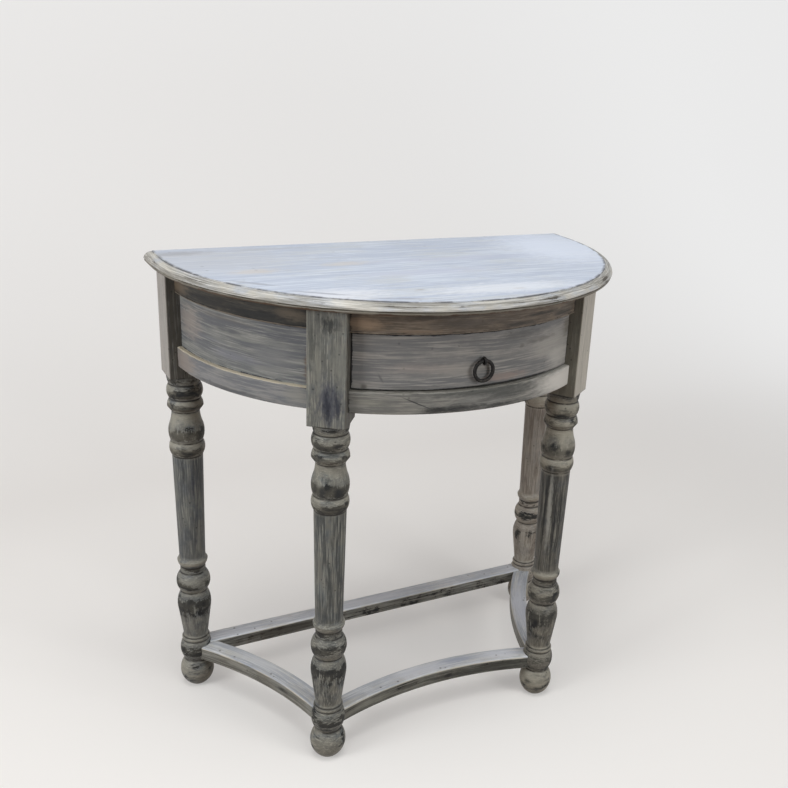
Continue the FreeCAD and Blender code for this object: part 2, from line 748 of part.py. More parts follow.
legs = {
    "leg_back_right": (size_of(0), ["right"]),
    "leg_front_right": (-d.front_leg_angle, ["right", "front"]),
    "leg_front_left": (d.front_leg_angle - 180, ["left", "front"]),
    "leg_back_left": (size_of(180), ["left"]),
}
for name, (angle, leg_bays) in legs.items():
    let_in = [pieces[bay] for bay in leg_bays for pieces in (top_rails, bottom_rails, stretchers)]
    if "back" in name:
        let_in += [back_board, nodes["stretcher_back"]]
    nodes[name] = fitted(name, leg_blank(name, angle), *let_in)

doc.recompute()
for item in doc.Objects:
    if "Invalid" in item.State or "Error" in item.State:
        raise RuntimeError(f"{item.Name} failed: {item.State}")
for name, item in nodes.items():
    item.Label = name
    if item.Shape.isNull() or not item.Shape.isValid():
        raise RuntimeError(f"{name} has no valid shape")
os.makedirs("parts", exist_ok=True)
for name, item in nodes.items():
    item.Shape.exportStep(f"parts/{name}.step")
    print(f"{name}: {len(item.Shape.Solids)} solid(s), {item.Shape.Volume / 1000:.1f} cm3")
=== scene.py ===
import math
import bpy
from mathutils import Matrix, Vector

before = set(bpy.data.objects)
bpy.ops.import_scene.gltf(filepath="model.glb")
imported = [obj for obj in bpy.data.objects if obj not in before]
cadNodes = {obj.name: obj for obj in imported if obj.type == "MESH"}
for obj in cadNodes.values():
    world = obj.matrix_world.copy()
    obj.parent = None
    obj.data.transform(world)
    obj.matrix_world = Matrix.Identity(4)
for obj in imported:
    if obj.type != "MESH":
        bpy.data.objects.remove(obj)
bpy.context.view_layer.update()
scene = bpy.context.scene
millimetres = 1000.0
quarterTurn = math.pi / 2
print("frame loaded:", len(cadNodes), "nodes")


# Screen levels from 0 to 255, as the linear colour that a shader takes
def tone(red, green, blue):
    levels = [level / 255 for level in (red, green, blue)]
    linear = [c / 12.92 if c < 0.04045 else ((c + 0.055) / 1.055) ** 2.4 for c in levels]
    return (*linear, 1)


# A ragged spot of other colour, mostly other paint and dirt, in places painted light or shade: place
# and half sizes in metres, share of cover, turn in degrees
def patch(at, size, colour, share, turn=0, ragged=1.4):
    return {"at": at, "size": size, "colour": colour, "share": share, "turn": turn, "ragged": ragged}


# Short ways to lay out the nodes of one material or group
class Sheet:
    def __init__(self, tree):
        self.tree = tree

    def feed(self, socket, value):
        if isinstance(value, bpy.types.NodeSocket):
            self.tree.links.new(value, socket)
        else:
            socket.default_value = value

    def add(self, kind, settings=None, **inputs):
        node = self.tree.nodes.new(kind)
        for key, value in (settings or {}).items():
            setattr(node, key, value)
        for key, value in inputs.items():
            self.feed(node.inputs[key], value)
        return node

    def fill(self, kind, settings, numbered):
        node = self.add(kind, settings)
        for number, value in numbered:
            self.feed(node.inputs[number], value)
        return node.outputs

    def here(self):
        return self.add("ShaderNodeTexCoord").outputs["Object"]

    def place(self, group, **inputs):
        return self.add("ShaderNodeGroup", {"node_tree": group}, **inputs).outputs

    def sums(self, operation, *values):
        return self.fill("ShaderNodeMath", {"operation": operation}, enumerate(values))[0]

    def times(self, value, share):
        return self.sums("MULTIPLY", value, share)

    def minus(self, value, other):
        return self.sums("SUBTRACT", value, other)

    def vectors(self, operation, *values):
        outputs = self.fill("ShaderNodeVectorMath", {"operation": operation}, enumerate(values))
        return outputs["Value" if operation == "LENGTH" else "Vector"]

    def split(self, vector):
        return self.add("ShaderNodeSeparateXYZ", Vector=vector).outputs

    def gather(self, x, y, z):
        return self.add("ShaderNodeCombineXYZ", X=x, Y=y, Z=z).outputs[0]

    def spin(self, vector, angle):
        about = {"rotation_type": "Z_AXIS"}
        return self.add("ShaderNodeVectorRotate", about, Vector=vector, Angle=angle).outputs[0]

    def noise(self, vector, scale, detail, roughness):
        inputs = {"Vector": vector, "Scale": scale, "Detail": detail, "Roughness": roughness}
        return self.add("ShaderNodeTexNoise", **inputs).outputs[0]

    def lean(self, value, weight, base):
        # base plus a weighted swing of the value about its middle
        return self.sums("MULTIPLY_ADD", self.minus(value, 0.5), weight, base)

    def step(self, value, low, high):
        inputs = {"Value": value, "From Min": low, "From Max": high}
        return self.add("ShaderNodeMapRange", {"interpolation_type": "SMOOTHSTEP"}, **inputs).outputs[0]

    def blend(self, share, under, over):
        return self.fill("ShaderNodeMix", {"data_type": "RGBA"}, ((0, share), (6, under), (7, over)))[2]

    def cover(self, mask, share, under, over):
        return self.blend(self.times(mask, share), under, over)

    def mix(self, share, low, high):
        return self.fill("ShaderNodeMix", {"data_type": "FLOAT"}, ((0, share), (2, low), (3, high)))[0]

    def profile(self, value, points):
        # a line through the points, from the first level to the last
        low, high = points[0][0], points[-1][0]
        node = self.add("ShaderNodeFloatCurve")
        self.feed(node.inputs["Value"], self.sums("DIVIDE", self.minus(value, low), high - low))
        line = node.mapping.curves[0]
        for level, share in points[1:-1]:
            line.points.new((level - low) / (high - low), share)
        line.points[0].location = (0, points[0][1])
        line.points[len(line.points) - 1].location = (1, points[-1][1])
        for point in line.points:
            point.handle_type = "VECTOR"
        node.mapping.update()
        return node.outputs[0]


socketKinds = {"vector": "NodeSocketVector", "value": "NodeSocketFloat", "colour": "NodeSocketColor"}


# A shared effect, with the names of its inputs and outputs listed by kind
def newGroup(name, inputs, outputs):
    tree = bpy.data.node_groups.new(name, "ShaderNodeTree")
    for way, sockets in (("INPUT", inputs), ("OUTPUT", outputs)):
        for kind, keys in sockets.items():
            for key in keys:
                tree.interface.new_socket(name=key, in_out=way, socket_type=socketKinds[kind])
    sheet = Sheet(tree)
    return tree, sheet, sheet.add("NodeGroupInput").outputs, sheet.add("NodeGroupOutput").inputs


# Where a point lies along, up and out on a bowed piece, in metres
def makeBowPlace():
    group, sheet, given, result = newGroup(
        "bowPlace", {"vector": ["Middle"], "value": ["Facing", "Radius"]}, {"vector": ["Vector"]})
    fromMiddle = sheet.vectors("SUBTRACT", sheet.here(), given["Middle"])
    x, y, z = sheet.split(sheet.spin(fromMiddle, given["Facing"]))
    along = sheet.times(sheet.sums("ARCTAN2", y, x), given["Radius"])
    out = sheet.vectors("LENGTH", sheet.gather(x, y, 0.0))
    sheet.feed(result["Vector"], sheet.gather(along, z, out))
    return group


# Where a point lies on a leg: for upright strokes, for strokes round it, and rolled out flat
# with 0 at the front
rollLook = {"radius": 0.027, "depth": 0.25}


def makeLegPlace(look):
    group, sheet, given, result = newGroup(
        "legPlace", {"vector": ["Axis"], "value": ["Facing"]},
        {"vector": ["Upright", "Round", "Rolled"], "value": ["Up"]})
    fromAxis = sheet.vectors("SUBTRACT", sheet.here(), given["Axis"])
    x, y, z = sheet.split(sheet.spin(fromAxis, given["Facing"]))
    around = sheet.times(sheet.sums("ARCTAN2", y, x), look["radius"])
    sheet.feed(result["Upright"], sheet.gather(z, x, y))
    sheet.feed(result["Round"], sheet.gather(x, z, sheet.times(y, look["depth"])))
    sheet.feed(result["Rolled"], sheet.gather(around, z, 0.0))
    sheet.feed(result["Up"], z)
    return group


# Long brush marks along the first axis: broad bands, fine streaks, single hairs and soft clouds.
# Each noise has its scale, detail and roughness, and the clouds take their scale from the piece
markKeys = ("Broad", "Fine", "Hair", "Cloud")
marksLook = {
    "drift": (9.0, 2.0, 0.55), "driftSquash": 0.4,
    "broad": (1.0, 4.0, 0.56),
    "fine": (1.0, 6.0, 0.66), "finePitch": (1.6, 4.2, 4.2),
    "hair": (1.0, 6.0, 0.68), "hairPitch": (2.4, 8.0, 8.0),
    "cloud": (7.0, 0.64),
}


def makeBrushMarks(look):
    group, sheet, given, result = newGroup(
        "brushMarks", {"vector": ["Vector"], "value": ["Length", "Width", "Wander", "Clouds", "Shift"]},
        {"value": markKeys})
    x, y, z = sheet.split(given["Vector"])
    drift = sheet.gather(x, sheet.times(y, look["driftSquash"]), given["Shift"])
    wandered = sheet.lean(sheet.noise(drift, *look["drift"]), given["Wander"], y)
    across = sheet.sums("DIVIDE", wandered, given["Width"])
    deep = sheet.sums("ADD", sheet.sums("DIVIDE", z, given["Width"]), given["Shift"])
    strokes = sheet.gather(sheet.sums("DIVIDE", x, given["Length"]), across, deep)
    fine = sheet.vectors("MULTIPLY", strokes, look["finePitch"])
    hair = sheet.vectors("MULTIPLY", strokes, look["hairPitch"])
    moved = sheet.vectors("ADD", given["Vector"], sheet.gather(given["Shift"], 0.0, 0.0))
    sheet.feed(result["Broad"], sheet.noise(strokes, *look["broad"]))
    sheet.feed(result["Fine"], sheet.noise(fine, *look["fine"]))
    sheet.feed(result["Hair"], sheet.noise(hair, *look["hair"]))
    sheet.feed(result["Cloud"], sheet.noise(moved, given["Clouds"], *look["cloud"]))
    return group


# Layers of rubbed paint: body colour and tint, shade bands, pale dry strokes, dark hairs, and a
# dark undercoat where it is worn
layerLook = {
    "tint": (0.4, 0.62), "fineInBands": 0.8, "hairInBands": 0.4, "shade": (0.62, 0.38),
    "hairInStrokes": 0.5, "pale": (0.5, 0.68), "thinHair": (0.58, 0.67), "thinCloud": (0.46, 0.58),
    "wornBands": -0.5, "wornStrokes": -0.7, "worn": (0.5, 0.62),
    "roughness": (0.24, 0.4), "wornRoughness": 0.12, "hairHeight": 0.45, "wornHeight": -0.5,
}


def makeRubbedPaint(look):
    group, sheet, given, result = newGroup(
        "rubbedPaint",
        {"value": [*markKeys, "Wear", "Patchy", "Dry", "Scratch"],
         "colour": ["Body", "Pale", "Shade", "Tint", "Under"]},
        {"colour": ["Color"], "value": ["Roughness", "Height"]})
    broad, fine, hair, cloud = [given[key] for key in markKeys]
    body = sheet.blend(sheet.step(cloud, *look["tint"]), given["Body"], given["Tint"])
    bands = sheet.lean(hair, look["hairInBands"], sheet.lean(fine, look["fineInBands"], broad))
    shaded = sheet.blend(sheet.step(bands, *look["shade"]), body, given["Shade"])
    strokes = sheet.lean(hair, look["hairInStrokes"], fine)
    painted = sheet.cover(sheet.step(strokes, *look["pale"]), given["Dry"], shaded, given["Pale"])
    thin = sheet.times(sheet.step(hair, *look["thinHair"]), sheet.step(cloud, *look["thinCloud"]))
    painted = sheet.cover(thin, given["Scratch"], painted, given["Under"])
    ragged = sheet.lean(broad, look["wornBands"], given["Wear"])
    ragged = sheet.lean(strokes, look["wornStrokes"], ragged)
    ragged = sheet.lean(cloud, given["Patchy"], ragged)
    worn = sheet.step(ragged, *look["worn"])
    sheet.feed(result["Color"], sheet.blend(worn, painted, given["Under"]))
    rough = sheet.sums("MULTIPLY_ADD", fine, *look["roughness"])
    rough = sheet.sums("MULTIPLY_ADD", worn, look["wornRoughness"], rough)
    sheet.feed(result["Roughness"], rough)
    lift = sheet.sums("MULTIPLY_ADD", hair, look["hairHeight"], fine)
    sheet.feed(result["Height"], sheet.sums("MULTIPLY_ADD", worn, look["wornHeight"], lift))
    return group


# A soft ragged spot of a given half length and half height
raggedSpotLook = {"stretch": 0.3, "rags": (230.0, 5.0, 0.62), "fade": (1.0, 0.2)}


def makeRaggedSpot(look):
    group, sheet, given, result = newGroup(
        "raggedSpot", {"vector": ["Vector", "Spot", "Size"], "value": ["Turn", "Ragged"]},
        {"value": ["Mask"]})
    fromSpot = sheet.vectors("SUBTRACT", given["Vector"], given["Spot"])
    turned = sheet.spin(fromSpot, given["Turn"])
    x, y = sheet.split(sheet.vectors("DIVIDE", turned, given["Size"]))[:2]
    reach = sheet.vectors("LENGTH", sheet.gather(x, y, 0.0))
    x, y, z = sheet.split(turned)
    rags = sheet.noise(sheet.gather(sheet.times(x, look["stretch"]), y, z), *look["rags"])
    sheet.feed(result["Mask"], sheet.step(sheet.lean(rags, given["Ragged"], reach), *look["fade"]))
    return group


# Strength along the border of a rectangle in along and up, broken here and there
borderLook = {"gaps": (70.0, 4.0, 0.6), "fade": (1.0, 0.1)}


def makeBorder(look):
    group, sheet, given, result = newGroup(
        "border",
        {"vector": ["Vector"], "value": ["Start", "End", "Floor", "Ceiling", "Width", "Broken"]},
        {"value": ["Mask"]})
    x, y = sheet.split(given["Vector"])[:2]
    ends = sheet.sums("MINIMUM", sheet.minus(x, given["Start"]), sheet.minus(given["End"], x))
    levels = sheet.sums("MINIMUM", sheet.minus(y, given["Floor"]), sheet.minus(given["Ceiling"], y))
    reach = sheet.sums("DIVIDE", sheet.sums("MINIMUM", ends, levels), given["Width"])
    gaps = sheet.noise(given["Vector"], *look["gaps"])
    sheet.feed(result["Mask"], sheet.step(sheet.lean(gaps, given["Broken"], reach), *look["fade"]))
    return group


# Small dark pits and specks
fleckLook = {"fade": (0.34, 0.1)}


def makeFlecks(look):
    group, sheet, given, result = newGroup(
        "flecks", {"vector": ["Vector"], "value": ["Scale", "Amount"]}, {"value": ["Mask"]})
    cells = sheet.add("ShaderNodeTexVoronoi", Vector=given["Vector"], Scale=given["Scale"]).outputs
    chosen = sheet.sums("LESS_THAN", sheet.split(cells["Color"])[0], given["Amount"])
    sheet.feed(result["Mask"], sheet.times(chosen, sheet.step(cells["Distance"], *look["fade"])))
    return group


# Bare planed wood with the grain along the first axis
woodLook = {
    "ringPitch": (3.0, 60.0, 60.0), "rings": (1.0, 3.0, 0.5), "ringCount": 4.0, "ringShare": 1.6,
    "porePitch": (30.0, 900.0, 900.0), "pores": (1.0, 3.0, 0.6), "poreShare": 0.9,
    "lightness": (-0.4, 1.0), "roughness": (0.25, 0.5),
}


def makeBareWood(look):
    group, sheet, given, result = newGroup(
        "bareWood", {"vector": ["Vector"], "colour": ["Light", "Dark"]},
        {"colour": ["Color"], "value": ["Roughness", "Height"]})
    rings = sheet.vectors("MULTIPLY", given["Vector"], look["ringPitch"])
    rings = sheet.times(sheet.noise(rings, *look["rings"]), look["ringCount"])
    soft = sheet.sums("PINGPONG", sheet.sums("FRACT", rings), 0.5)
    pores = sheet.vectors("MULTIPLY", given["Vector"], look["porePitch"])
    pores = sheet.noise(pores, *look["pores"])
    grain = sheet.lean(pores, look["poreShare"], sheet.times(soft, look["ringShare"]))
    lightness = sheet.step(grain, *look["lightness"])
    sheet.feed(result["Color"], sheet.blend(lightness, given["Dark"], given["Light"]))
    sheet.feed(result["Roughness"], sheet.sums("MULTIPLY_ADD", pores, *look["roughness"]))
    sheet.feed(result["Height"], grain)
    return group


bowPlace = makeBowPlace()
legPlace = makeLegPlace(rollLook)
brushMarks = makeBrushMarks(marksLook)
rubbedPaint = makeRubbedPaint(layerLook)
raggedSpot = makeRaggedSpot(raggedSpotLook)
border = makeBorder(borderLook)
flecks = makeFlecks(fleckLook)
bareWood = makeBareWood(woodLook)
print("shared effects built")

dullShine = 0.28


def newMaterial(name):
    material = bpy.data.materials.new(name)
    material.use_nodes = True
    material.node_tree.nodes.clear()
    sheet = Sheet(material.node_tree)
    shader = sheet.add("ShaderNodeBsdfPrincipled")
    output = sheet.add("ShaderNodeOutputMaterial")
    sheet.feed(output.inputs["Surface"], shader.outputs[0])
    shader.inputs["Specular IOR Level"].default_value = dullShine
    return material, sheet, shader


def dress(material, *names):
    for name in names:
        mesh = cadNodes[name].data
        mesh.materials.clear()
        mesh.materials.append(material)


def coat(sheet, shader, colour, roughness, height, bump):
    strength, distance = bump
    relief = sheet.add("ShaderNodeBump", Height=height, Strength=strength, Distance=distance)
    sheet.feed(shader.inputs["Base Color"], colour)
    sheet.feed(shader.inputs["Roughness"], roughness)
    sheet.feed(shader.inputs["Normal"], relief.outputs[0])


def addPaint(sheet, marks, look, wear, patchy=0.0):
    colours = {key: look[key.lower()] for key in ("Body", "Pale", "Shade", "Tint", "Under")}
    return sheet.place(rubbedPaint, **{key: marks[key] for key in markKeys}, **colours,
                       Wear=wear, Patchy=patchy, Dry=look["dry"], Scratch=look["scratch"])


# Lays ragged spots over a colour: stains and wear, and in places painted highlights and painted shadows
def addStainsAndPaintedLight(sheet, colour, spots, vector):
    for spot in spots:
        mask = sheet.place(raggedSpot, Vector=vector, Spot=(*spot["at"], 0), Size=(*spot["size"], 1),
                           Turn=math.radians(spot["turn"]), Ragged=spot["ragged"])["Mask"]
        colour = sheet.cover(mask, spot["share"], colour, spot["colour"])
    return colour


def addFlecks(sheet, colour, vector, look, dark):
    mask = sheet.place(flecks, Vector=vector, Scale=look["scale"], Amount=look["amount"])["Mask"]
    return sheet.cover(mask, look["share"], colour, dark)


# Inner wood
innerLook = {"light": tone(160, 138, 112), "dark": tone(116, 95, 73), "bump": (0.25, 0.0003)}


def innerWood(name, turn, look):
    material, sheet, shader = newMaterial(name)
    grain = sheet.place(bareWood, Vector=sheet.spin(sheet.here(), turn),
                        Light=look["light"], Dark=look["dark"])
    coat(sheet, shader, grain["Color"], grain["Roughness"], grain["Height"], look["bump"])
    return material


dress(innerWood("innerWoodAcross", 0.0, innerLook), "drawer_back", "back_rail", "drawer_bottom")
dress(innerWood("innerWoodDeep", quarterTurn, innerLook), "drawer_stops",
      *(f"drawer_{part}_{side}" for part in ("side", "runner", "guide", "kicker")
        for side in ("left", "right")))
print("inner wood done")

# Top: a pale flat with strokes along the back edge, and a moulding with strokes round it.
# The moulding is rubbed by its level in millimetres
topLook = {
    "flat": {"body": tone(195, 204, 218), "tint": tone(193, 199, 206), "pale": tone(219, 227, 238),
             "shade": tone(180, 190, 207), "under": tone(104, 104, 112), "dry": 0.75, "scratch": 0.5},
    "flatStrokes": {"Length": 0.16, "Width": 0.014, "Wander": 0.01, "Clouds": 9.0, "Shift": 3.0},
    "flatWear": 0.02, "flecks": {"scale": 90.0, "amount": 0.012, "share": 0.3},
    "rim": {"body": tone(181, 178, 169), "tint": tone(171, 175, 180), "pale": tone(218, 216, 210),
            "shade": tone(132, 130, 124), "under": tone(76, 72, 66), "dry": 0.7, "scratch": 0.9},
    "rimStrokes": {"Length": 0.1, "Width": 0.006, "Wander": 0.004, "Clouds": 22.0, "Shift": 11.0},
    "rimPatchy": 1.4, "rimRadius": 0.379, "rimStart": (-0.0012, 0.0006),
    "rubbed": [(743, .7), (744.5, .5), (746.5, .15), (747.6, .62), (748.6, .66), (749.6, .3),
               (753, .26), (755.5, .42), (757, .26), (758.6, .24), (760, .1)],
    "flatRadius": 0.366, "legLine": 0.169, "underside": 0.7431, "gaps": (30.0, 5.0, 0.62),
    "groove": tone(80, 81, 88), "grooveIn": (-0.0046, -0.001), "grooveOut": (0.0024, 0.0004),
    "grooveGaps": (0.42, 0.58), "grooveShare": 0.7,
    # darker lower moulding: partly paint, partly painted shade where the moulding turns down
    "low": tone(108, 103, 90), "lowFade": (0.7515, 0.7475), "lowRagged": 0.006, "lowShare": 0.65,
    "chip": tone(82, 64, 49), "chipFade": (0.7461, 0.7445), "chipRagged": 0.012, "chipHeight": -1.2,
    "bump": (0.35, 0.0005),
    "stainsAndPaintedLight": [
        # The first two patches are partly painted light: the top is painted greyer at the left end and
        # paler at the right end, where more light falls
        patch((-0.31, 0.12), (0.2, 0.14), tone(188, 191, 197), 0.5, ragged=0.8),
        patch((0.30, 0.10), (0.16, 0.20), tone(222, 231, 246), 0.8, ragged=0.8),
        patch((-0.258, 0.038), (0.05, 0.022), tone(203, 196, 188), 0.6),
        patch((-0.111, 0.057), (0.06, 0.020), tone(205, 199, 190), 0.6),
        patch((0.058, 0.055), (0.2, 0.020), tone(188, 194, 211), 0.55),
        patch((-0.014, -0.022), (0.16, 0.03), tone(190, 196, 214), 0.5),
        patch((-0.2, -0.12), (0.1, 0.05), tone(226, 229, 235), 0.7),
        patch((0.05, -0.14), (0.16, 0.04), tone(224, 229, 237), 0.7),
        patch((-0.335, 0.178), (0.07, 0.022), tone(160, 162, 168), 0.7),
        patch((-0.19, 0.185), (0.09, 0.014), tone(172, 176, 186), 0.6),
        patch((-0.28, -0.03), (0.05, 0.008), tone(146, 150, 162), 0.6, turn=40),
        patch((-0.21, -0.105), (0.06, 0.006), tone(138, 142, 154), 0.6, turn=32),
        patch((-0.12, -0.158), (0.06, 0.006), tone(150, 153, 164), 0.6, turn=18),
        patch((-0.076, -0.12), (0.012, 0.002), tone(150, 140, 130), 0.8, turn=-8),
        patch((0.068, -0.148), (0.014, 0.002), tone(160, 156, 152), 0.7, turn=5),
    ],
}


def topPaint(look):
    material, sheet, shader = newMaterial("topPaint")
    spot = sheet.here()
    x, y, z = sheet.split(spot)
    forward = sheet.sums("MINIMUM", sheet.minus(y, look["legLine"]), 0.0)
    reach = sheet.vectors("LENGTH", sheet.gather(x, forward, 0.0))

    def fromRim(low, high):
        return sheet.step(reach, look["flatRadius"] + low, look["flatRadius"] + high)

    marks = sheet.place(brushMarks, Vector=spot, **look["flatStrokes"])
    flat = addPaint(sheet, marks, look["flat"], look["flatWear"])
    flatColour = addStainsAndPaintedLight(sheet, flat["Color"], look["stainsAndPaintedLight"], spot)
    flatColour = addFlecks(sheet, flatColour, spot, look["flecks"], look["flat"]["under"])
    bowed = sheet.place(bowPlace, Middle=(0, look["legLine"], 0), Facing=quarterTurn,
                        Radius=look["rimRadius"])["Vector"]
    rimMarks = sheet.place(brushMarks, Vector=bowed, **look["rimStrokes"])
    rubbed = sheet.profile(sheet.times(z, millimetres), look["rubbed"])
    rim = addPaint(sheet, rimMarks, look["rim"], rubbed, look["rimPatchy"])
    onRim = fromRim(*look["rimStart"])
    colour = sheet.blend(onRim, flatColour, rim["Color"])
    gaps = sheet.noise(bowed, *look["gaps"])
    groove = sheet.times(fromRim(*look["grooveIn"]), fromRim(*look["grooveOut"]))
    groove = sheet.times(groove, sheet.step(gaps, *look["grooveGaps"]))
    colour = sheet.cover(groove, look["grooveShare"], colour, look["groove"])
    # The lower half of the moulding is darkened: partly its paint, partly painted shade where it turns
    # down and under
    low = sheet.step(sheet.lean(rimMarks["Fine"], look["lowRagged"], z), *look["lowFade"])
    colour = sheet.cover(low, look["lowShare"], colour, look["low"])
    chips = sheet.step(sheet.lean(gaps, look["chipRagged"], z), *look["chipFade"])
    colour = sheet.blend(chips, colour, look["chip"])
    below = sheet.sums("LESS_THAN", z, look["underside"])
    colour = sheet.blend(below, colour, innerLook["dark"])
    roughness = sheet.mix(onRim, flat["Roughness"], rim["Roughness"])
    height = sheet.mix(onRim, flat["Height"], rim["Height"])
    height = sheet.sums("MULTIPLY_ADD", chips, look["chipHeight"], height)
    coat(sheet, shader, colour, roughness, height, look["bump"])
    return material


dress(topPaint(topLook), "table_top")
print("top done")

# Apron: drawer front, side panels and rails, all bowed about one upright line
bowLook = {
    "middle": (0, 0.169, 0), "radius": 0.345, "broken": 1.6, "patchy": 1.0,
    "lineGaps": (40.0, 4.0, 0.6), "lineRagged": 2.5, "lineCore": 0.3,
    "flecks": {"scale": 130.0, "amount": 0.03, "share": 0.35},
    "bareLight": tone(152, 126, 97), "bareDark": tone(106, 83, 60), "bareFade": 0.001,
    "bump": (0.3, 0.0005),
}


def bowPaint(name, look):
    material, sheet, shader = newMaterial(name)
    place = sheet.place(bowPlace, Middle=bowLook["middle"], Facing=quarterTurn,
                        Radius=bowLook["radius"])["Vector"]
    marks = sheet.place(brushMarks, Vector=place, Shift=look["shift"], **look["strokes"])
    edge = sheet.place(border, Vector=place, Start=look["start"], End=look["end"],
                       Floor=look["floor"], Ceiling=look["ceiling"], Width=look["edgeWidth"],
                       Broken=bowLook["broken"])["Mask"]
    # Edges darkened by the border: worn paint, and on the drawer front partly painted shade of the gaps
    # round it
    wear = sheet.sums("MULTIPLY_ADD", edge, look["edgeWearAndGapShade"], look["wear"])
    paint = addPaint(sheet, marks, look, wear, bowLook["patchy"])
    colour = addStainsAndPaintedLight(sheet, paint["Color"], look["stainsAndPaintedLight"], place)
    up, out = sheet.split(place)[1:3]
    gaps = sheet.noise(place, *bowLook["lineGaps"])
    for line in look.get("arrises", []):
        near = sheet.sums("ABSOLUTE", sheet.minus(up, line["level"]))
        near = sheet.lean(gaps, line["width"] * bowLook["lineRagged"], near)
        mask = sheet.step(near, line["width"], line["width"] * bowLook["lineCore"])
        colour = sheet.cover(mask, line["share"], colour, line["colour"])
    colour = addFlecks(sheet, colour, place, bowLook["flecks"], look["under"])
    wood = sheet.place(bareWood, Vector=place, Light=bowLook["bareLight"], Dark=bowLook["bareDark"])
    behind = sheet.step(out, look["inside"] + bowLook["bareFade"], look["inside"])
    colour = sheet.blend(behind, colour, wood["Color"])
    coat(sheet, shader, colour, paint["Roughness"], paint["Height"], bowLook["bump"])
    return material


frontBay = {"start": -0.1893, "end": 0.1893}
leftBay = {"start": -0.5144, "end": -0.2443}
rightBay = {"start": 0.2443, "end": 0.5144}
longStrokes = {"Length": 0.12, "Width": 0.011, "Wander": 0.005, "Clouds": 14.0}
shortStrokes = {**longStrokes, "Length": 0.06, "Width": 0.009}
darkSmudge = tone(48, 49, 51)
drawerLook = {
    "start": -0.1872, "end": 0.1872, "floor": 0.628, "ceiling": 0.7085, "inside": 0.326,
    "body": tone(143, 141, 137), "tint": tone(124, 124, 123), "pale": tone(162, 160, 155),
    "shade": tone(111, 112, 113), "under": tone(50, 50, 51), "dry": 0.7, "scratch": 0.4,
    "strokes": longStrokes, "shift": 21.0, "wear": 0.02, "edgeWidth": 0.0032, "edgeWearAndGapShade": 0.7,
    "stainsAndPaintedLight": [
        patch((-0.155, 0.699), (0.05, 0.012), tone(118, 118, 117), 0.5),
        patch((-0.05, 0.670), (0.09, 0.009), tone(106, 107, 109), 0.65),
        patch((-0.02, 0.697), (0.06, 0.006), tone(104, 104, 105), 0.5),
        patch((-0.09, 0.660), (0.08, 0.010), tone(150, 143, 138), 0.5),
        patch((0.045, 0.638), (0.055, 0.009), tone(150, 136, 129), 0.7),
        patch((0.14, 0.675), (0.085, 0.034), tone(164, 162, 157), 0.75, ragged=0.7),
        patch((0.165, 0.648), (0.05, 0.024), tone(182, 180, 175), 0.75, ragged=0.7),
        patch((0.07, 0.697), (0.06, 0.010), tone(88, 88, 88), 0.65),
        patch((0.11, 0.684), (0.05, 0.006), tone(92, 90, 88), 0.6),
        # Near-black line along the drawer's bottom edge: black paint together with painted shadow of
        # the gap below the drawer
        patch((0.05, 0.6292), (0.16, 0.0026), tone(24, 24, 24), 0.9, ragged=0.8),
        patch((0.181, 0.690), (0.016, 0.022), tone(102, 97, 86), 0.6),
        patch((-0.1704, 0.6325), (0.007, 0.005), tone(84, 82, 79), 0.8),
        patch((-0.1474, 0.6470), (0.012, 0.0022), tone(92, 92, 94), 0.7, turn=60),
        patch((0.069, 0.6801), (0.007, 0.0045), tone(96, 93, 90), 0.6),
        patch((-0.10, 0.632), (0.07, 0.004), tone(92, 92, 92), 0.6),
    ],
}
leftPanelLook = {
    **leftBay, "floor": 0.6265, "ceiling": 0.710, "inside": 0.334,
    "body": tone(133, 135, 132), "tint": tone(122, 125, 124), "pale": tone(166, 167, 164),
    "shade": tone(100, 103, 108), "under": tone(56, 58, 64), "dry": 0.7, "scratch": 0.55,
    "strokes": longStrokes, "shift": 33.0, "wear": 0.02, "edgeWidth": 0.004, "edgeWearAndGapShade": 0.6,
    "stainsAndPaintedLight": [
        patch((-0.48, 0.675), (0.05, 0.035), tone(154, 147, 141), 0.7),
        patch((-0.30, 0.66), (0.05, 0.03), tone(124, 126, 128), 0.6),
        patch((-0.37, 0.648), (0.07, 0.010), tone(126, 129, 138), 0.6),
        patch((-0.42, 0.663), (0.05, 0.004), tone(114, 117, 124), 0.6),
        patch((-0.375, 0.6835), (0.04, 0.004), tone(84, 87, 94), 0.7),
        patch((-0.40, 0.700), (0.10, 0.005), tone(108, 106, 104), 0.6),
        patch((-0.2475, 0.655), (0.009, 0.035), tone(104, 86, 68), 0.8),
    ],
}
rightPanelLook = {
    **leftPanelLook, **rightBay, "shift": 47.0,
    "stainsAndPaintedLight": [
        patch((0.30, 0.66), (0.05, 0.02), tone(150, 142, 136), 0.5),
        patch((0.42, 0.68), (0.05, 0.005), tone(88, 91, 98), 0.6),
        patch((0.36, 0.645), (0.07, 0.012), tone(126, 129, 136), 0.5),
        patch((0.51, 0.64), (0.010, 0.02), tone(106, 88, 70), 0.7),
    ],
}
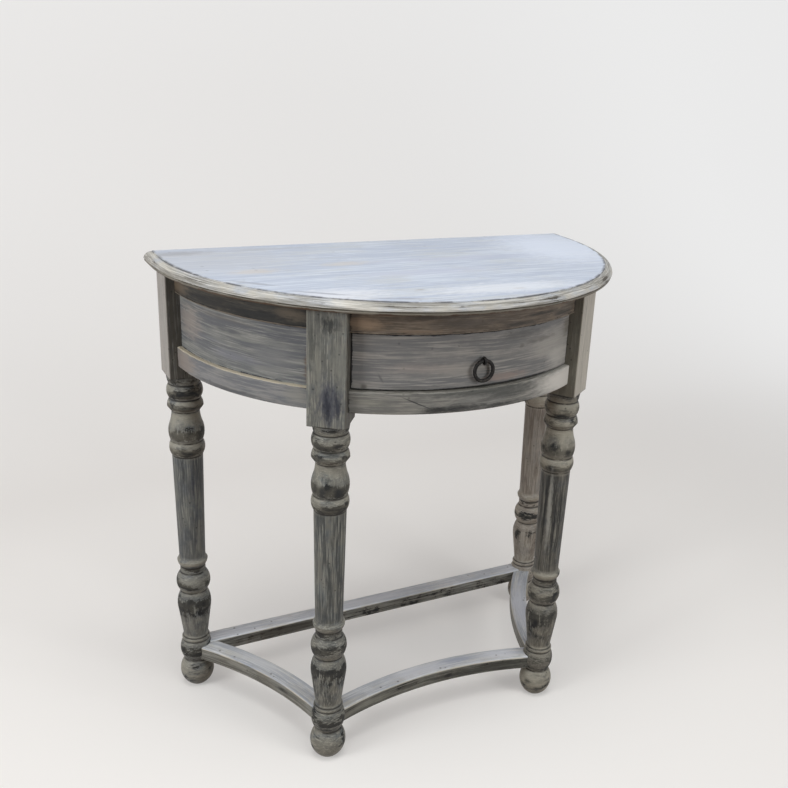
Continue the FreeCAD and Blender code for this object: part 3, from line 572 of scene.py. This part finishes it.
topRailLook = {
    **frontBay, "floor": 0.710, "ceiling": 0.743, "inside": 0.3285,
    "body": tone(116, 104, 91), "tint": tone(104, 97, 90), "pale": tone(138, 126, 112),
    "shade": tone(86, 78, 69), "under": tone(44, 40, 36), "dry": 0.55, "scratch": 0.5,
    "strokes": shortStrokes, "shift": 55.0, "wear": 0.3, "edgeWidth": 0.005, "edgeWearAndGapShade": 0.4,
    "stainsAndPaintedLight": [
        patch((-0.168, 0.724), (0.035, 0.014), tone(142, 122, 102), 0.7),
        patch((-0.025, 0.724), (0.07, 0.008), tone(70, 65, 61), 0.6),
        patch((0.06, 0.716), (0.05, 0.005), tone(48, 45, 42), 0.75),
        patch((0.10, 0.726), (0.05, 0.004), tone(36, 34, 32), 0.8),
        patch((0.15, 0.719), (0.04, 0.005), tone(44, 42, 39), 0.75),
        patch((0.13, 0.735), (0.05, 0.004), tone(126, 114, 102), 0.6),
        patch((-0.08, 0.734), (0.06, 0.004), tone(52, 47, 43), 0.7),
        patch((-0.10, 0.715), (0.05, 0.003), tone(128, 112, 96), 0.6),
    ],
    "arrises": [{"level": 0.7112, "width": 0.0014, "colour": tone(150, 140, 126), "share": 0.6}],
}
# The left top rail's paint is darkened to stand in for the shadow of the top's overhang: painted shade
leftTopRailLook = {
    **topRailLook, **leftBay, "shift": 63.0, "wear": 0.4,
    "body": tone(60, 57, 50), "tint": tone(48, 47, 43), "pale": tone(94, 87, 77),
    "shade": tone(34, 32, 29), "under": tone(20, 19, 18),
    "stainsAndPaintedLight": [
        patch((-0.27, 0.727), (0.035, 0.014), tone(104, 95, 83), 0.7, ragged=1.0),
        patch((-0.50, 0.725), (0.05, 0.016), tone(106, 94, 79), 0.75, ragged=1.0),
        patch((-0.40, 0.735), (0.07, 0.005), tone(84, 78, 69), 0.6),
        patch((-0.33, 0.719), (0.09, 0.010), tone(16, 16, 15), 0.95),
        patch((-0.42, 0.722), (0.07, 0.010), tone(26, 25, 24), 0.85),
    ],
}
rightTopRailLook = {
    **topRailLook, **rightBay, "shift": 71.0,
    "stainsAndPaintedLight": [patch((0.36, 0.722), (0.06, 0.010), tone(56, 54, 51), 0.6)],
}
bottomRailLook = {
    **frontBay, "floor": 0.5945, "ceiling": 0.6265, "inside": 0.3285,
    "body": tone(132, 131, 125), "tint": tone(126, 127, 124), "pale": tone(156, 154, 147),
    "shade": tone(107, 107, 104), "under": tone(52, 52, 51), "dry": 0.6, "scratch": 0.5,
    "strokes": shortStrokes, "shift": 81.0, "wear": 0.06, "edgeWidth": 0.004, "edgeWearAndGapShade": 0.5,
    "stainsAndPaintedLight": [
        patch((0.175, 0.611), (0.11, 0.036), tone(214, 212, 206), 0.9, ragged=0.5),
        # The next two patches darken the rail under the drawer: partly dark mottling, partly painted
        # shadow of the drawer and its gap
        patch((0.0, 0.6225), (0.11, 0.008), tone(72, 74, 71), 0.75),
        patch((0.05, 0.615), (0.06, 0.011), tone(70, 72, 70), 0.7),
        patch((-0.062, 0.6000), (0.040, 0.007), tone(30, 30, 30), 0.9, ragged=1.8),
        patch((-0.0283, 0.6005), (0.045, 0.009), tone(38, 39, 40), 0.7, ragged=2.2),
        patch((0.03, 0.599), (0.035, 0.005), tone(40, 41, 42), 0.75, ragged=2.0),
        patch((-0.0965, 0.6115), (0.032, 0.0014), darkSmudge, 0.9, turn=24, ragged=0.5),
        patch((-0.16, 0.612), (0.03, 0.008), tone(136, 136, 126), 0.5),
    ],
    "arrises": [{"level": 0.6262, "width": 0.0011, "colour": tone(150, 146, 136), "share": 0.4}],
}
leftBottomRailLook = {
    **bottomRailLook, **leftBay, "shift": 93.0,
    "body": tone(136, 137, 137), "tint": tone(132, 132, 130), "pale": tone(152, 152, 150),
    "shade": tone(112, 115, 120),
    "stainsAndPaintedLight": [
        patch((-0.49, 0.610), (0.05, 0.03), tone(146, 136, 128), 0.7),
        patch((-0.40, 0.606), (0.06, 0.010), tone(150, 150, 150), 0.5),
        patch((-0.38, 0.5985), (0.10, 0.004), tone(78, 80, 84), 0.7),
        patch((-0.26, 0.612), (0.03, 0.018), tone(150, 150, 142), 0.5),
    ],
    "arrises": [{"level": 0.6262, "width": 0.0014, "colour": tone(196, 186, 164), "share": 0.85}],
}
rightBottomRailLook = {
    **bottomRailLook, **rightBay, "shift": 99.0,
    "stainsAndPaintedLight": [patch((0.34, 0.602), (0.04, 0.006), darkSmudge, 0.6)],
}
apron = {
    "drawer_front": drawerLook, "side_panel_left": leftPanelLook, "side_panel_right": rightPanelLook,
    "front_top_rail": topRailLook, "side_top_rail_left": leftTopRailLook,
    "side_top_rail_right": rightTopRailLook, "front_bottom_rail": bottomRailLook,
    "side_bottom_rail_left": leftBottomRailLook, "side_bottom_rail_right": rightBottomRailLook,
}
for name, look in apron.items():
    dress(bowPaint(name + "Paint", look), name)
print("apron done")

# Legs: levels in millimetres up the leg, with how far the paint is rubbed, how much cream glaze
# sits there, where the strokes run upright, and the dark lines in the grooves; the widest line,
# under the collar at 235 mm, is painted shadow of the gap there
legLook = {
    "under": tone(22, 23, 24), "cream": tone(192, 188, 172), "line": tone(30, 27, 23),
    "dry": 0.6, "scratch": 0.8, "front": (-0.654, -1.343),
    "tall": {"Length": 0.1, "Width": 0.009, "Wander": 0.003, "Clouds": 42.0},
    "turned": {"Length": 0.02, "Width": 0.006, "Wander": 0.003, "Clouds": 60.0}, "turnedShift": 3,
    "mottled": {"Length": 0.1, "Width": 0.009, "Wander": 0.01, "Clouds": 60.0}, "mottledShift": 7,
    "post": (573.0, 576.0), "postSpread": {"Broad": 0.9, "Fine": 1.0, "Hair": 1.3, "Cloud": 1.2},
    "patchy": (-1.6, 2.6), "creamCloud": (0.66, 0.44), "face": (0.0262, 0.0274),
    "faceFine": (0.85, 0.35), "grooveRuns": ((40, 250), (430, 580)), "grooveCore": 1 / 3,
    "grooveCloud": (0.3, 0.5), "grooveShare": 0.92,
    "flecks": {"scale": 170.0, "amount": 0.07, "share": 0.6}, "bump": (0.4, 0.0006),
    "rubbed": [
        (0, .2), (12, .18), (26, .34), (44, .25), (52, .1), (60, .42), (72, .68), (82, .55), (90, .12),
        (95, .08), (102, .15), (112, .3), (132, .44), (150, .5), (160, .62), (172, .66), (180, .36),
        (187, .02), (193, .35), (200, .66), (206, .75), (216, .32), (224, .15), (228, .65), (234, .65),
        (238, .15), (246, .12), (256, .12), (300, .2), (345, .24), (400, .2), (436, .2), (443, .75),
        (450, .74), (456, .3), (462, .08), (468, .6), (478, .76), (488, .38), (506, .15), (514, .25),
        (520, .8), (526, .62), (531, .15), (536, .12), (540, .6), (547, .76), (554, .34), (561, .14),
        (567, .55), (574, .3), (580, .3), (600, .22), (690, .2), (720, .34), (743, .36)],
    "creamed": [
        (0, .3), (12, .4), (26, .6), (44, .6), (50, .6), (58, .1), (84, .2), (94, .6), (101, .6),
        (106, .22), (140, .2), (178, .1), (186, .55), (192, .35), (198, .1), (214, .42), (222, .35),
        (227, .1), (238, .3), (244, .7), (249, .5), (256, .1), (434, 0), (437, .5), (442, .3),
        (456, .7), (462, .8), (465, .3), (478, .3), (492, .6), (508, .8), (518, .3), (530, .8),
        (535, .6), (539, .3), (554, .6), (560, .7), (564, .3), (576, .1), (743, 0)],
    "upright": [
        (0, 0), (98, 0), (106, 1), (160, 1), (182, .2), (188, 0), (248, 0), (256, 1), (434, 1),
        (442, 0), (464, 0), (474, .8), (500, .6), (512, 0), (572, 0), (576, 1), (743, 1)],
    "grooves": [
        (52, 2.2), (90.8, 1.8), (98.4, 1.8), (187.5, 2.0), (224, 1.8), (235, 3.0), (438.4, 2.2),
        (462.6, 2.0), (514, 1.8), (535, 2.0), (559.5, 1.9), (573.8, 1.8)],
}
# The face colours on each leg make its post faces lighter or darker by the way they face: painted light
# on faces turned to the light, painted shade on faces in the corners by the panels
legs = {
    "leg_front_left": {
        "axis": (-0.197496, -0.10283, 0), "shift": 5.0, "glaze": 0.44, "rub": 0.0,
        "body": tone(108, 108, 102), "tint": tone(94, 99, 100), "pale": tone(164, 164, 155),
        "shade": tone(64, 67, 67),
        "faces": [{"azimuth": -36, "colour": tone(58, 52, 43), "share": 0.85},
                  {"azimuth": -126, "colour": tone(152, 152, 144), "share": 0.25}],
        "stainsAndPaintedLight": [
            patch((-0.0045, 0.613), (0.045, 0.022), tone(66, 69, 80), 0.8, turn=90, ragged=2.2),
            patch((-0.0060, 0.603), (0.036, 0.007), tone(34, 36, 46), 0.9, turn=90, ragged=2.4),
            patch((0.0060, 0.606), (0.028, 0.005), tone(40, 43, 54), 0.85, turn=90, ragged=2.4),
            patch((-0.0045, 0.722), (0.018, 0.012), tone(42, 44, 44), 0.85, turn=90, ragged=2.6),
            patch((0.006, 0.722), (0.006, 0.012), tone(70, 72, 72), 0.6),
            patch((-0.024, 0.69), (0.05, 0.004), tone(66, 68, 64), 0.6, turn=90),
            patch((-0.018, 0.66), (0.07, 0.006), tone(128, 128, 119), 0.5, turn=90, ragged=2.6),
            patch((0.008, 0.67), (0.04, 0.012), tone(122, 123, 116), 0.6, turn=90, ragged=2.4),
            patch((0.003, 0.532), (0.02, 0.006), tone(34, 35, 36), 0.6),
            patch((0.010, 0.545), (0.012, 0.005), tone(26, 27, 28), 0.8),
            patch((-0.012, 0.474), (0.007, 0.012), tone(38, 40, 42), 0.8),
            patch((0.012, 0.474), (0.010, 0.012), tone(36, 38, 40), 0.8),
        ]},
    "leg_front_right": {
        "axis": (0.197496, -0.10283, 0), "shift": 15.0, "glaze": 0.8, "rub": 0.0,
        "body": tone(90, 88, 83), "tint": tone(80, 82, 82), "pale": tone(144, 142, 132),
        "shade": tone(46, 46, 44),
        "faces": [{"azimuth": -54, "colour": tone(200, 195, 184), "share": 0.9},
                  {"azimuth": -144, "colour": tone(130, 127, 114), "share": 0.6}],
        "stainsAndPaintedLight": [
            patch((-0.014, 0.36), (0.09, 0.003), tone(26, 27, 27), 0.8, turn=90),
            # Pale upright strip just left of the front: a painted highlight on the shaft
            patch((-0.005, 0.37), (0.10, 0.006), tone(158, 158, 152), 0.75, turn=90),
            patch((0.007, 0.35), (0.10, 0.004), tone(30, 30, 30), 0.85, turn=90),
            patch((0.018, 0.37), (0.07, 0.003), tone(26, 27, 27), 0.8, turn=90),
            patch((0.018, 0.475), (0.009, 0.010), tone(24, 25, 25), 0.85),
            patch((0.006, 0.020), (0.016, 0.007), tone(38, 39, 37), 0.8, ragged=2.0),
            patch((-0.014, 0.033), (0.009, 0.006), tone(44, 45, 43), 0.7, ragged=2.0),
        ]},
    "leg_back_left": {
        "axis": (-0.336, 0.169, 0), "shift": 25.0, "glaze": 0.65, "rub": 0.02,
        "body": tone(106, 108, 104), "tint": tone(92, 97, 100), "pale": tone(148, 149, 143),
        "shade": tone(74, 77, 79),
        "faces": [{"azimuth": 180, "colour": tone(182, 178, 173), "share": 0.9},
                  {"azimuth": -90, "colour": tone(72, 67, 58), "share": 0.8}],
        "stainsAndPaintedLight": [
            patch((-0.010, 0.41), (0.03, 0.004), tone(46, 48, 52), 0.7, turn=90),
            patch((0.006, 0.39), (0.04, 0.004), tone(58, 60, 72), 0.7, turn=90),
        ]},
    "leg_back_right": {
        "axis": (0.336, 0.169, 0), "shift": 35.0, "glaze": 0.7, "rub": -0.14,
        "body": tone(150, 145, 137), "tint": tone(140, 137, 132), "pale": tone(172, 165, 154),
        "shade": tone(118, 110, 102), "faces": [], "stainsAndPaintedLight": []},
}


def legPaint(name, leg):
    look = {**legLook, **leg}
    material, sheet, shader = newMaterial(name + "Paint")
    frontX, frontY = look["front"]
    facing = -math.atan2(frontY - look["axis"][1], frontX - look["axis"][0])
    place = sheet.place(legPlace, Axis=look["axis"], Facing=facing)
    up = sheet.times(place["Up"], millimetres)
    tall = sheet.place(brushMarks, Vector=place["Upright"], Shift=look["shift"], **look["tall"])
    turned = sheet.place(brushMarks, Vector=place["Round"], Shift=look["shift"] + look["turnedShift"],
                         **look["turned"])
    mottled = sheet.place(brushMarks, Vector=place["Upright"],
                          Shift=look["shift"] + look["mottledShift"], **look["mottled"])
    upright = sheet.profile(up, look["upright"])
    onPost = sheet.step(up, *look["post"])
    marks = {}
    for key, spread in look["postSpread"].items():
        onTurning = sheet.mix(upright, turned[key], tall[key])
        marks[key] = sheet.mix(onPost, onTurning, sheet.lean(mottled[key], spread, 0.5))
    patchy = sheet.sums("MULTIPLY_ADD", upright, *look["patchy"])
    wear = sheet.sums("ADD", sheet.profile(up, look["rubbed"]), look["rub"])
    paint = addPaint(sheet, marks, look, wear, patchy)
    cream = sheet.step(marks["Cloud"], *look["creamCloud"])
    cream = sheet.times(sheet.profile(up, look["creamed"]), cream)
    colour = sheet.cover(cream, look["glaze"], paint["Color"], look["cream"])
    fromAxis = sheet.vectors("SUBTRACT", sheet.here(), look["axis"])
    # Painted light and painted shade: post faces made lighter or darker by the way they face
    for face in look["faces"]:
        out = sheet.split(sheet.spin(fromAxis, -math.radians(face["azimuth"])))[0]
        mask = sheet.times(sheet.step(out, *look["face"]), onPost)
        share = sheet.times(sheet.step(marks["Fine"], *look["faceFine"]), face["share"])
        colour = sheet.cover(mask, share, colour, face["colour"])
    colour = addStainsAndPaintedLight(sheet, colour, look["stainsAndPaintedLight"], place["Rolled"])
    for low, high in look["grooveRuns"]:
        points = [(low, 0.0)]
        for level, half in look["grooves"]:
            if low < level < high:
                core = half * look["grooveCore"]
                points += [(level - half, 0.0), (level - core, 1.0)]
                points += [(level + core, 1.0), (level + half, 0.0)]
        line = sheet.profile(up, points + [(high, 0.0)])
        line = sheet.times(line, sheet.step(tall["Cloud"], *look["grooveCloud"]))
        colour = sheet.cover(line, look["grooveShare"], colour, look["line"])
    colour = addFlecks(sheet, colour, place["Upright"], look["flecks"], look["under"])
    coat(sheet, shader, colour, paint["Roughness"], paint["Height"], look["bump"])
    return material


for name, leg in legs.items():
    dress(legPaint(name, leg), name)
print("legs done")

# Stretchers: pale on top, rubbed dark on the faces. The tops are painted paler than the paint alone
# to make up for light the table top keeps off them, most on the back bar: painted light
stretcherLook = {
    "top": {"body": tone(204, 207, 210), "tint": tone(197, 197, 193), "pale": tone(227, 229, 232),
            "shade": tone(171, 176, 184), "under": tone(60, 60, 60), "dry": 0.7, "scratch": 0.5},
    "face": {"body": tone(136, 137, 132), "tint": tone(124, 122, 114), "pale": tone(164, 164, 156),
             "shade": tone(92, 92, 87), "under": tone(30, 30, 29), "dry": 0.5, "scratch": 0.8},
    "strokes": {"Length": 0.1, "Width": 0.008, "Wander": 0.004, "Clouds": 26.0},
    "topWear": 0.05, "topPatchy": 1.2, "facePatchy": 1.8, "topFade": (-0.003, -0.001),
    "edge": tone(206, 202, 188), "edgeDrop": 0.0022, "edgeFade": (0.0015, 0.0004),
    "edgeCloud": (0.35, 0.6), "edgeShare": 0.8,
    "flecks": {"scale": 120.0, "amount": 0.06, "share": 0.6}, "bump": (0.4, 0.0006),
}
# The white patches on the tops of the bars are painted highlights; the bluish one on the front bar is
# paint
stretchers = {
    "stretcher_front": {
        "middle": (0, -0.6439, 0), "facing": -quarterTurn, "radius": 0.576, "top": 0.082,
        "shift": 7.0, "wear": 0.3,
        "topLook": {"body": tone(216, 219, 222), "shade": tone(184, 189, 197)},
        "faceLook": {"body": tone(118, 119, 113), "tint": tone(104, 103, 95),
                     "pale": tone(148, 148, 139), "shade": tone(74, 74, 69)},
        "topStainsAndHighlights": [
            patch((0.02, 0.576), (0.09, 0.02), tone(222, 225, 232), 0.7, ragged=0.8),
            patch((-0.13, 0.576), (0.05, 0.018), tone(222, 225, 232), 0.7, ragged=0.8),
            patch((-0.05, 0.579), (0.04, 0.010), tone(160, 168, 186), 0.6),
        ],
        "faceStains": [
            patch((-0.11, 0.068), (0.13, 0.014), tone(40, 40, 36), 0.75, ragged=1.1),
            patch((0.12, 0.069), (0.06, 0.010), tone(140, 141, 132), 0.5),
            patch((-0.03, 0.068), (0.012, 0.005), tone(22, 22, 22), 0.9),
        ]},
    "stretcher_left": {
        "middle": (-0.7616, -0.2191, 0), "facing": -math.radians(27), "radius": 0.576, "top": 0.082,
        "shift": 17.0, "wear": 0.12, "topLook": {}, "faceLook": {},
        "topStainsAndHighlights": [patch((0.02, 0.58), (0.09, 0.02), tone(212, 215, 218), 0.6, ragged=0.8)],
        "faceStains": [
            patch((-0.05, 0.070), (0.02, 0.004), tone(24, 24, 24), 0.8),
            patch((0.05, 0.072), (0.05, 0.008), tone(160, 160, 152), 0.6),
        ]},
    "stretcher_right": {
        "middle": (0.7616, -0.2191, 0), "facing": -math.radians(153), "radius": 0.576, "top": 0.082,
        "shift": 27.0, "wear": 0.2, "topLook": {}, "faceLook": {},
        "topStainsAndHighlights": [patch((0.0, 0.576), (0.12, 0.02), tone(214, 218, 228), 0.7, ragged=0.8)],
        "faceStains": []},
    "stretcher_back": {
        "middle": (0, -59.831, 0), "facing": -quarterTurn, "radius": 60.0, "top": 0.084,
        "shift": 37.0, "wear": 0.42, "faceLook": {},
        # The back bar's top is painted paler still, for light the table top keeps off it: painted light
        "topLook": {"body": tone(226, 229, 234), "tint": tone(218, 219, 219),
                    "pale": tone(236, 238, 242), "shade": tone(202, 207, 215)},
        "topStainsAndHighlights": [patch((0.0, 60.0), (0.12, 0.02), tone(232, 236, 244), 0.6, ragged=0.8)],
        "faceStains": [patch((0.18, 0.073), (0.14, 0.02), tone(48, 43, 36), 0.8, ragged=0.8)]},
}


def stretcherPaint(name, bar, look):
    material, sheet, shader = newMaterial(name + "Paint")
    place = sheet.place(bowPlace, Middle=bar["middle"], Facing=bar["facing"],
                        Radius=bar["radius"])["Vector"]
    along, up, out = sheet.split(place)
    marks = sheet.place(brushMarks, Vector=place, Shift=bar["shift"], **look["strokes"])
    top = addPaint(sheet, marks, {**look["top"], **bar["topLook"]}, look["topWear"], look["topPatchy"])
    face = addPaint(sheet, marks, {**look["face"], **bar["faceLook"]}, bar["wear"], look["facePatchy"])
    topColour = addStainsAndPaintedLight(sheet, top["Color"], bar["topStainsAndHighlights"], sheet.gather(along, out, 0.0))
    faceColour = addStainsAndPaintedLight(sheet, face["Color"], bar["faceStains"], place)
    onTop = sheet.step(up, *(bar["top"] + drop for drop in look["topFade"]))
    colour = sheet.blend(onTop, faceColour, topColour)
    edge = sheet.sums("ABSOLUTE", sheet.minus(up, bar["top"] - look["edgeDrop"]))
    edge = sheet.step(edge, *look["edgeFade"])
    edge = sheet.times(edge, sheet.step(marks["Cloud"], *look["edgeCloud"]))
    colour = sheet.cover(edge, look["edgeShare"], colour, look["edge"])
    colour = addFlecks(sheet, colour, place, look["flecks"], look["face"]["under"])
    coat(sheet, shader, colour, face["Roughness"], face["Height"], look["bump"])
    return material


for name, bar in stretchers.items():
    dress(stretcherPaint(name, bar, stretcherLook), name)
print("stretchers done")

# Metal
metalLook = {
    "hammered": (420.0, 3.0, 0.5), "fine": (1600.0, 3.0, 0.6), "rusting": (140.0, 4.0, 0.6),
    "rustFade": (0.55, 0.75), "rustShare": 0.6, "wornFade": (0.5, 0.72), "roughness": (0.3, 0.38),
    "fineHeight": 0.3, "bump": (0.4, 0.0004),
}
ironLook = {**metalLook, "body": tone(28, 27, 27), "worn": tone(58, 55, 51), "rust": tone(52, 40, 32),
            "metallic": 0.55}
steelLook = {**metalLook, "body": tone(150, 148, 144), "worn": tone(176, 174, 170),
             "rust": tone(112, 98, 84), "metallic": 0.9}


def metal(name, look):
    material, sheet, shader = newMaterial(name)
    spot = sheet.here()
    hammered = sheet.noise(spot, *look["hammered"])
    fine = sheet.noise(spot, *look["fine"])
    rusty = sheet.step(sheet.noise(spot, *look["rusting"]), *look["rustFade"])
    colour = sheet.blend(sheet.step(hammered, *look["wornFade"]), look["body"], look["worn"])
    colour = sheet.cover(rusty, look["rustShare"], colour, look["rust"])
    roughness = sheet.sums("MULTIPLY_ADD", fine, *look["roughness"])
    height = sheet.sums("MULTIPLY_ADD", fine, look["fineHeight"], hammered)
    shader.inputs["Metallic"].default_value = look["metallic"]
    coat(sheet, shader, colour, roughness, height, look["bump"])
    return material


dress(metal("blackIron", ironLook), "pull_eye", "pull_ring", "pull_washer", "pull_nut")
dress(metal("dullSteel", steelLook), "top_screws", "drawer_pins")
print("metal done")

# Floor that sweeps up into a backdrop, shown pale and fading to the backdrop with distance
stageLook = {
    "shown": tone(202, 200, 197), "lit": tone(152, 133, 118), "far": tone(70, 70, 70),
    "nearGlow": tone(150, 149, 148), "farGlow": tone(230, 230, 230), "dark": (0, 0, 0, 1),
    "fade": (1.0, 3.0), "glowStrength": 1.0, "roughness": 0.9,
    "back": 1.9, "bend": 0.9, "bendSteps": 24, "half": 6.0, "front": -5.0, "high": 5.0,
}


def seenDirectly(sheet):
    path = sheet.add("ShaderNodeLightPath").outputs
    mirrored = sheet.sums("MAXIMUM", path["Is Glossy Ray"], path["Is Transmission Ray"])
    return sheet.sums("MAXIMUM", path["Is Camera Ray"], mirrored)


def makeStage(look):
    profile = [(look["front"], 0.0)]
    for number in range(look["bendSteps"] + 1):
        turn = quarterTurn * number / look["bendSteps"]
        profile.append((look["back"] - look["bend"] + look["bend"] * math.sin(turn),
                        look["bend"] - look["bend"] * math.cos(turn)))
    profile.append((look["back"], look["high"]))
    points = [(side * look["half"], y, z) for y, z in profile for side in (-1, 1)]
    faces = [(2 * n, 2 * n + 1, 2 * n + 3, 2 * n + 2) for n in range(len(profile) - 1)]
    mesh = bpy.data.meshes.new("stage")
    mesh.from_pydata(points, [], faces)
    mesh.polygons.foreach_set("use_smooth", [True] * len(faces))
    sweep = bpy.data.objects.new("stage", mesh)
    scene.collection.objects.link(sweep)
    material, sheet, shader = newMaterial("paleStage")
    seen = seenDirectly(sheet)
    far = sheet.step(sheet.vectors("LENGTH", sheet.here()), *look["fade"])
    shown = sheet.blend(far, look["shown"], look["far"])
    glow = sheet.blend(far, look["nearGlow"], look["farGlow"])
    sheet.feed(shader.inputs["Base Color"], sheet.blend(seen, look["lit"], shown))
    sheet.feed(shader.inputs["Emission Color"], sheet.blend(seen, look["dark"], glow))
    shader.inputs["Roughness"].default_value = look["roughness"]
    shader.inputs["Emission Strength"].default_value = look["glowStrength"]
    mesh.materials.append(material)


makeStage(stageLook)

# Light
lightLook = {
    "sky": (0.97, 0.985, 1.0, 1), "skyLit": 0.15, "skyShown": 0.84,
    "lamps": {
        "overhead": {"at": (-0.3, -0.6, 2.7), "aim": (0, -0.05, 0.6), "size": 1.5, "power": 37},
        "left": {"at": (-2.8, -0.4, 1.4), "aim": (0, 0, 0.45), "size": 1.2, "power": 41},
        "front": {"at": (1.5, -2.6, 1.5), "aim": (0, 0, 0.45), "size": 1.2, "power": 34},
    },
}
world = bpy.data.worlds.new("sky")
scene.world = world
world.use_nodes = True
backing = world.node_tree.nodes["Background"].inputs
backing["Color"].default_value = lightLook["sky"]
sky = Sheet(world.node_tree)
strength = sky.mix(seenDirectly(sky), lightLook["skyLit"], lightLook["skyShown"])
sky.feed(backing["Strength"], strength)
for name, lamp in lightLook["lamps"].items():
    data = bpy.data.lights.new(name, "AREA")
    data.size = lamp["size"]
    data.energy = lamp["power"]
    item = bpy.data.objects.new(name, data)
    item.location = lamp["at"]
    aim = Vector(lamp["aim"]) - Vector(lamp["at"])
    item.rotation_euler = aim.to_track_quat("-Z", "Y").to_euler()
    scene.collection.objects.link(item)

# Camera
cameraLook = {
    "at": (-0.67485, -1.31223, 1.08524),
    "right": (0.8729342, -0.4840266, 0.0608625),
    "up": (0.1239208, 0.3406780, 0.9319776),
    "lens": 44.831, "sensor": 36, "shift": (-0.1, 0.03),
}
cameraData = bpy.data.cameras.new("camera")
cameraData.sensor_width = cameraLook["sensor"]
cameraData.lens = cameraLook["lens"]
cameraData.shift_x, cameraData.shift_y = cameraLook["shift"]
camera = bpy.data.objects.new("camera", cameraData)
right = Vector(cameraLook["right"])
upward = Vector(cameraLook["up"])
turned = Matrix((right, upward, right.cross(upward))).transposed()
camera.matrix_world = Matrix.Translation(cameraLook["at"]) @ turned.to_4x4()
scene.collection.objects.link(camera)
scene.camera = camera
scene.view_settings.view_transform = "Standard"
print("stage, light and camera done")
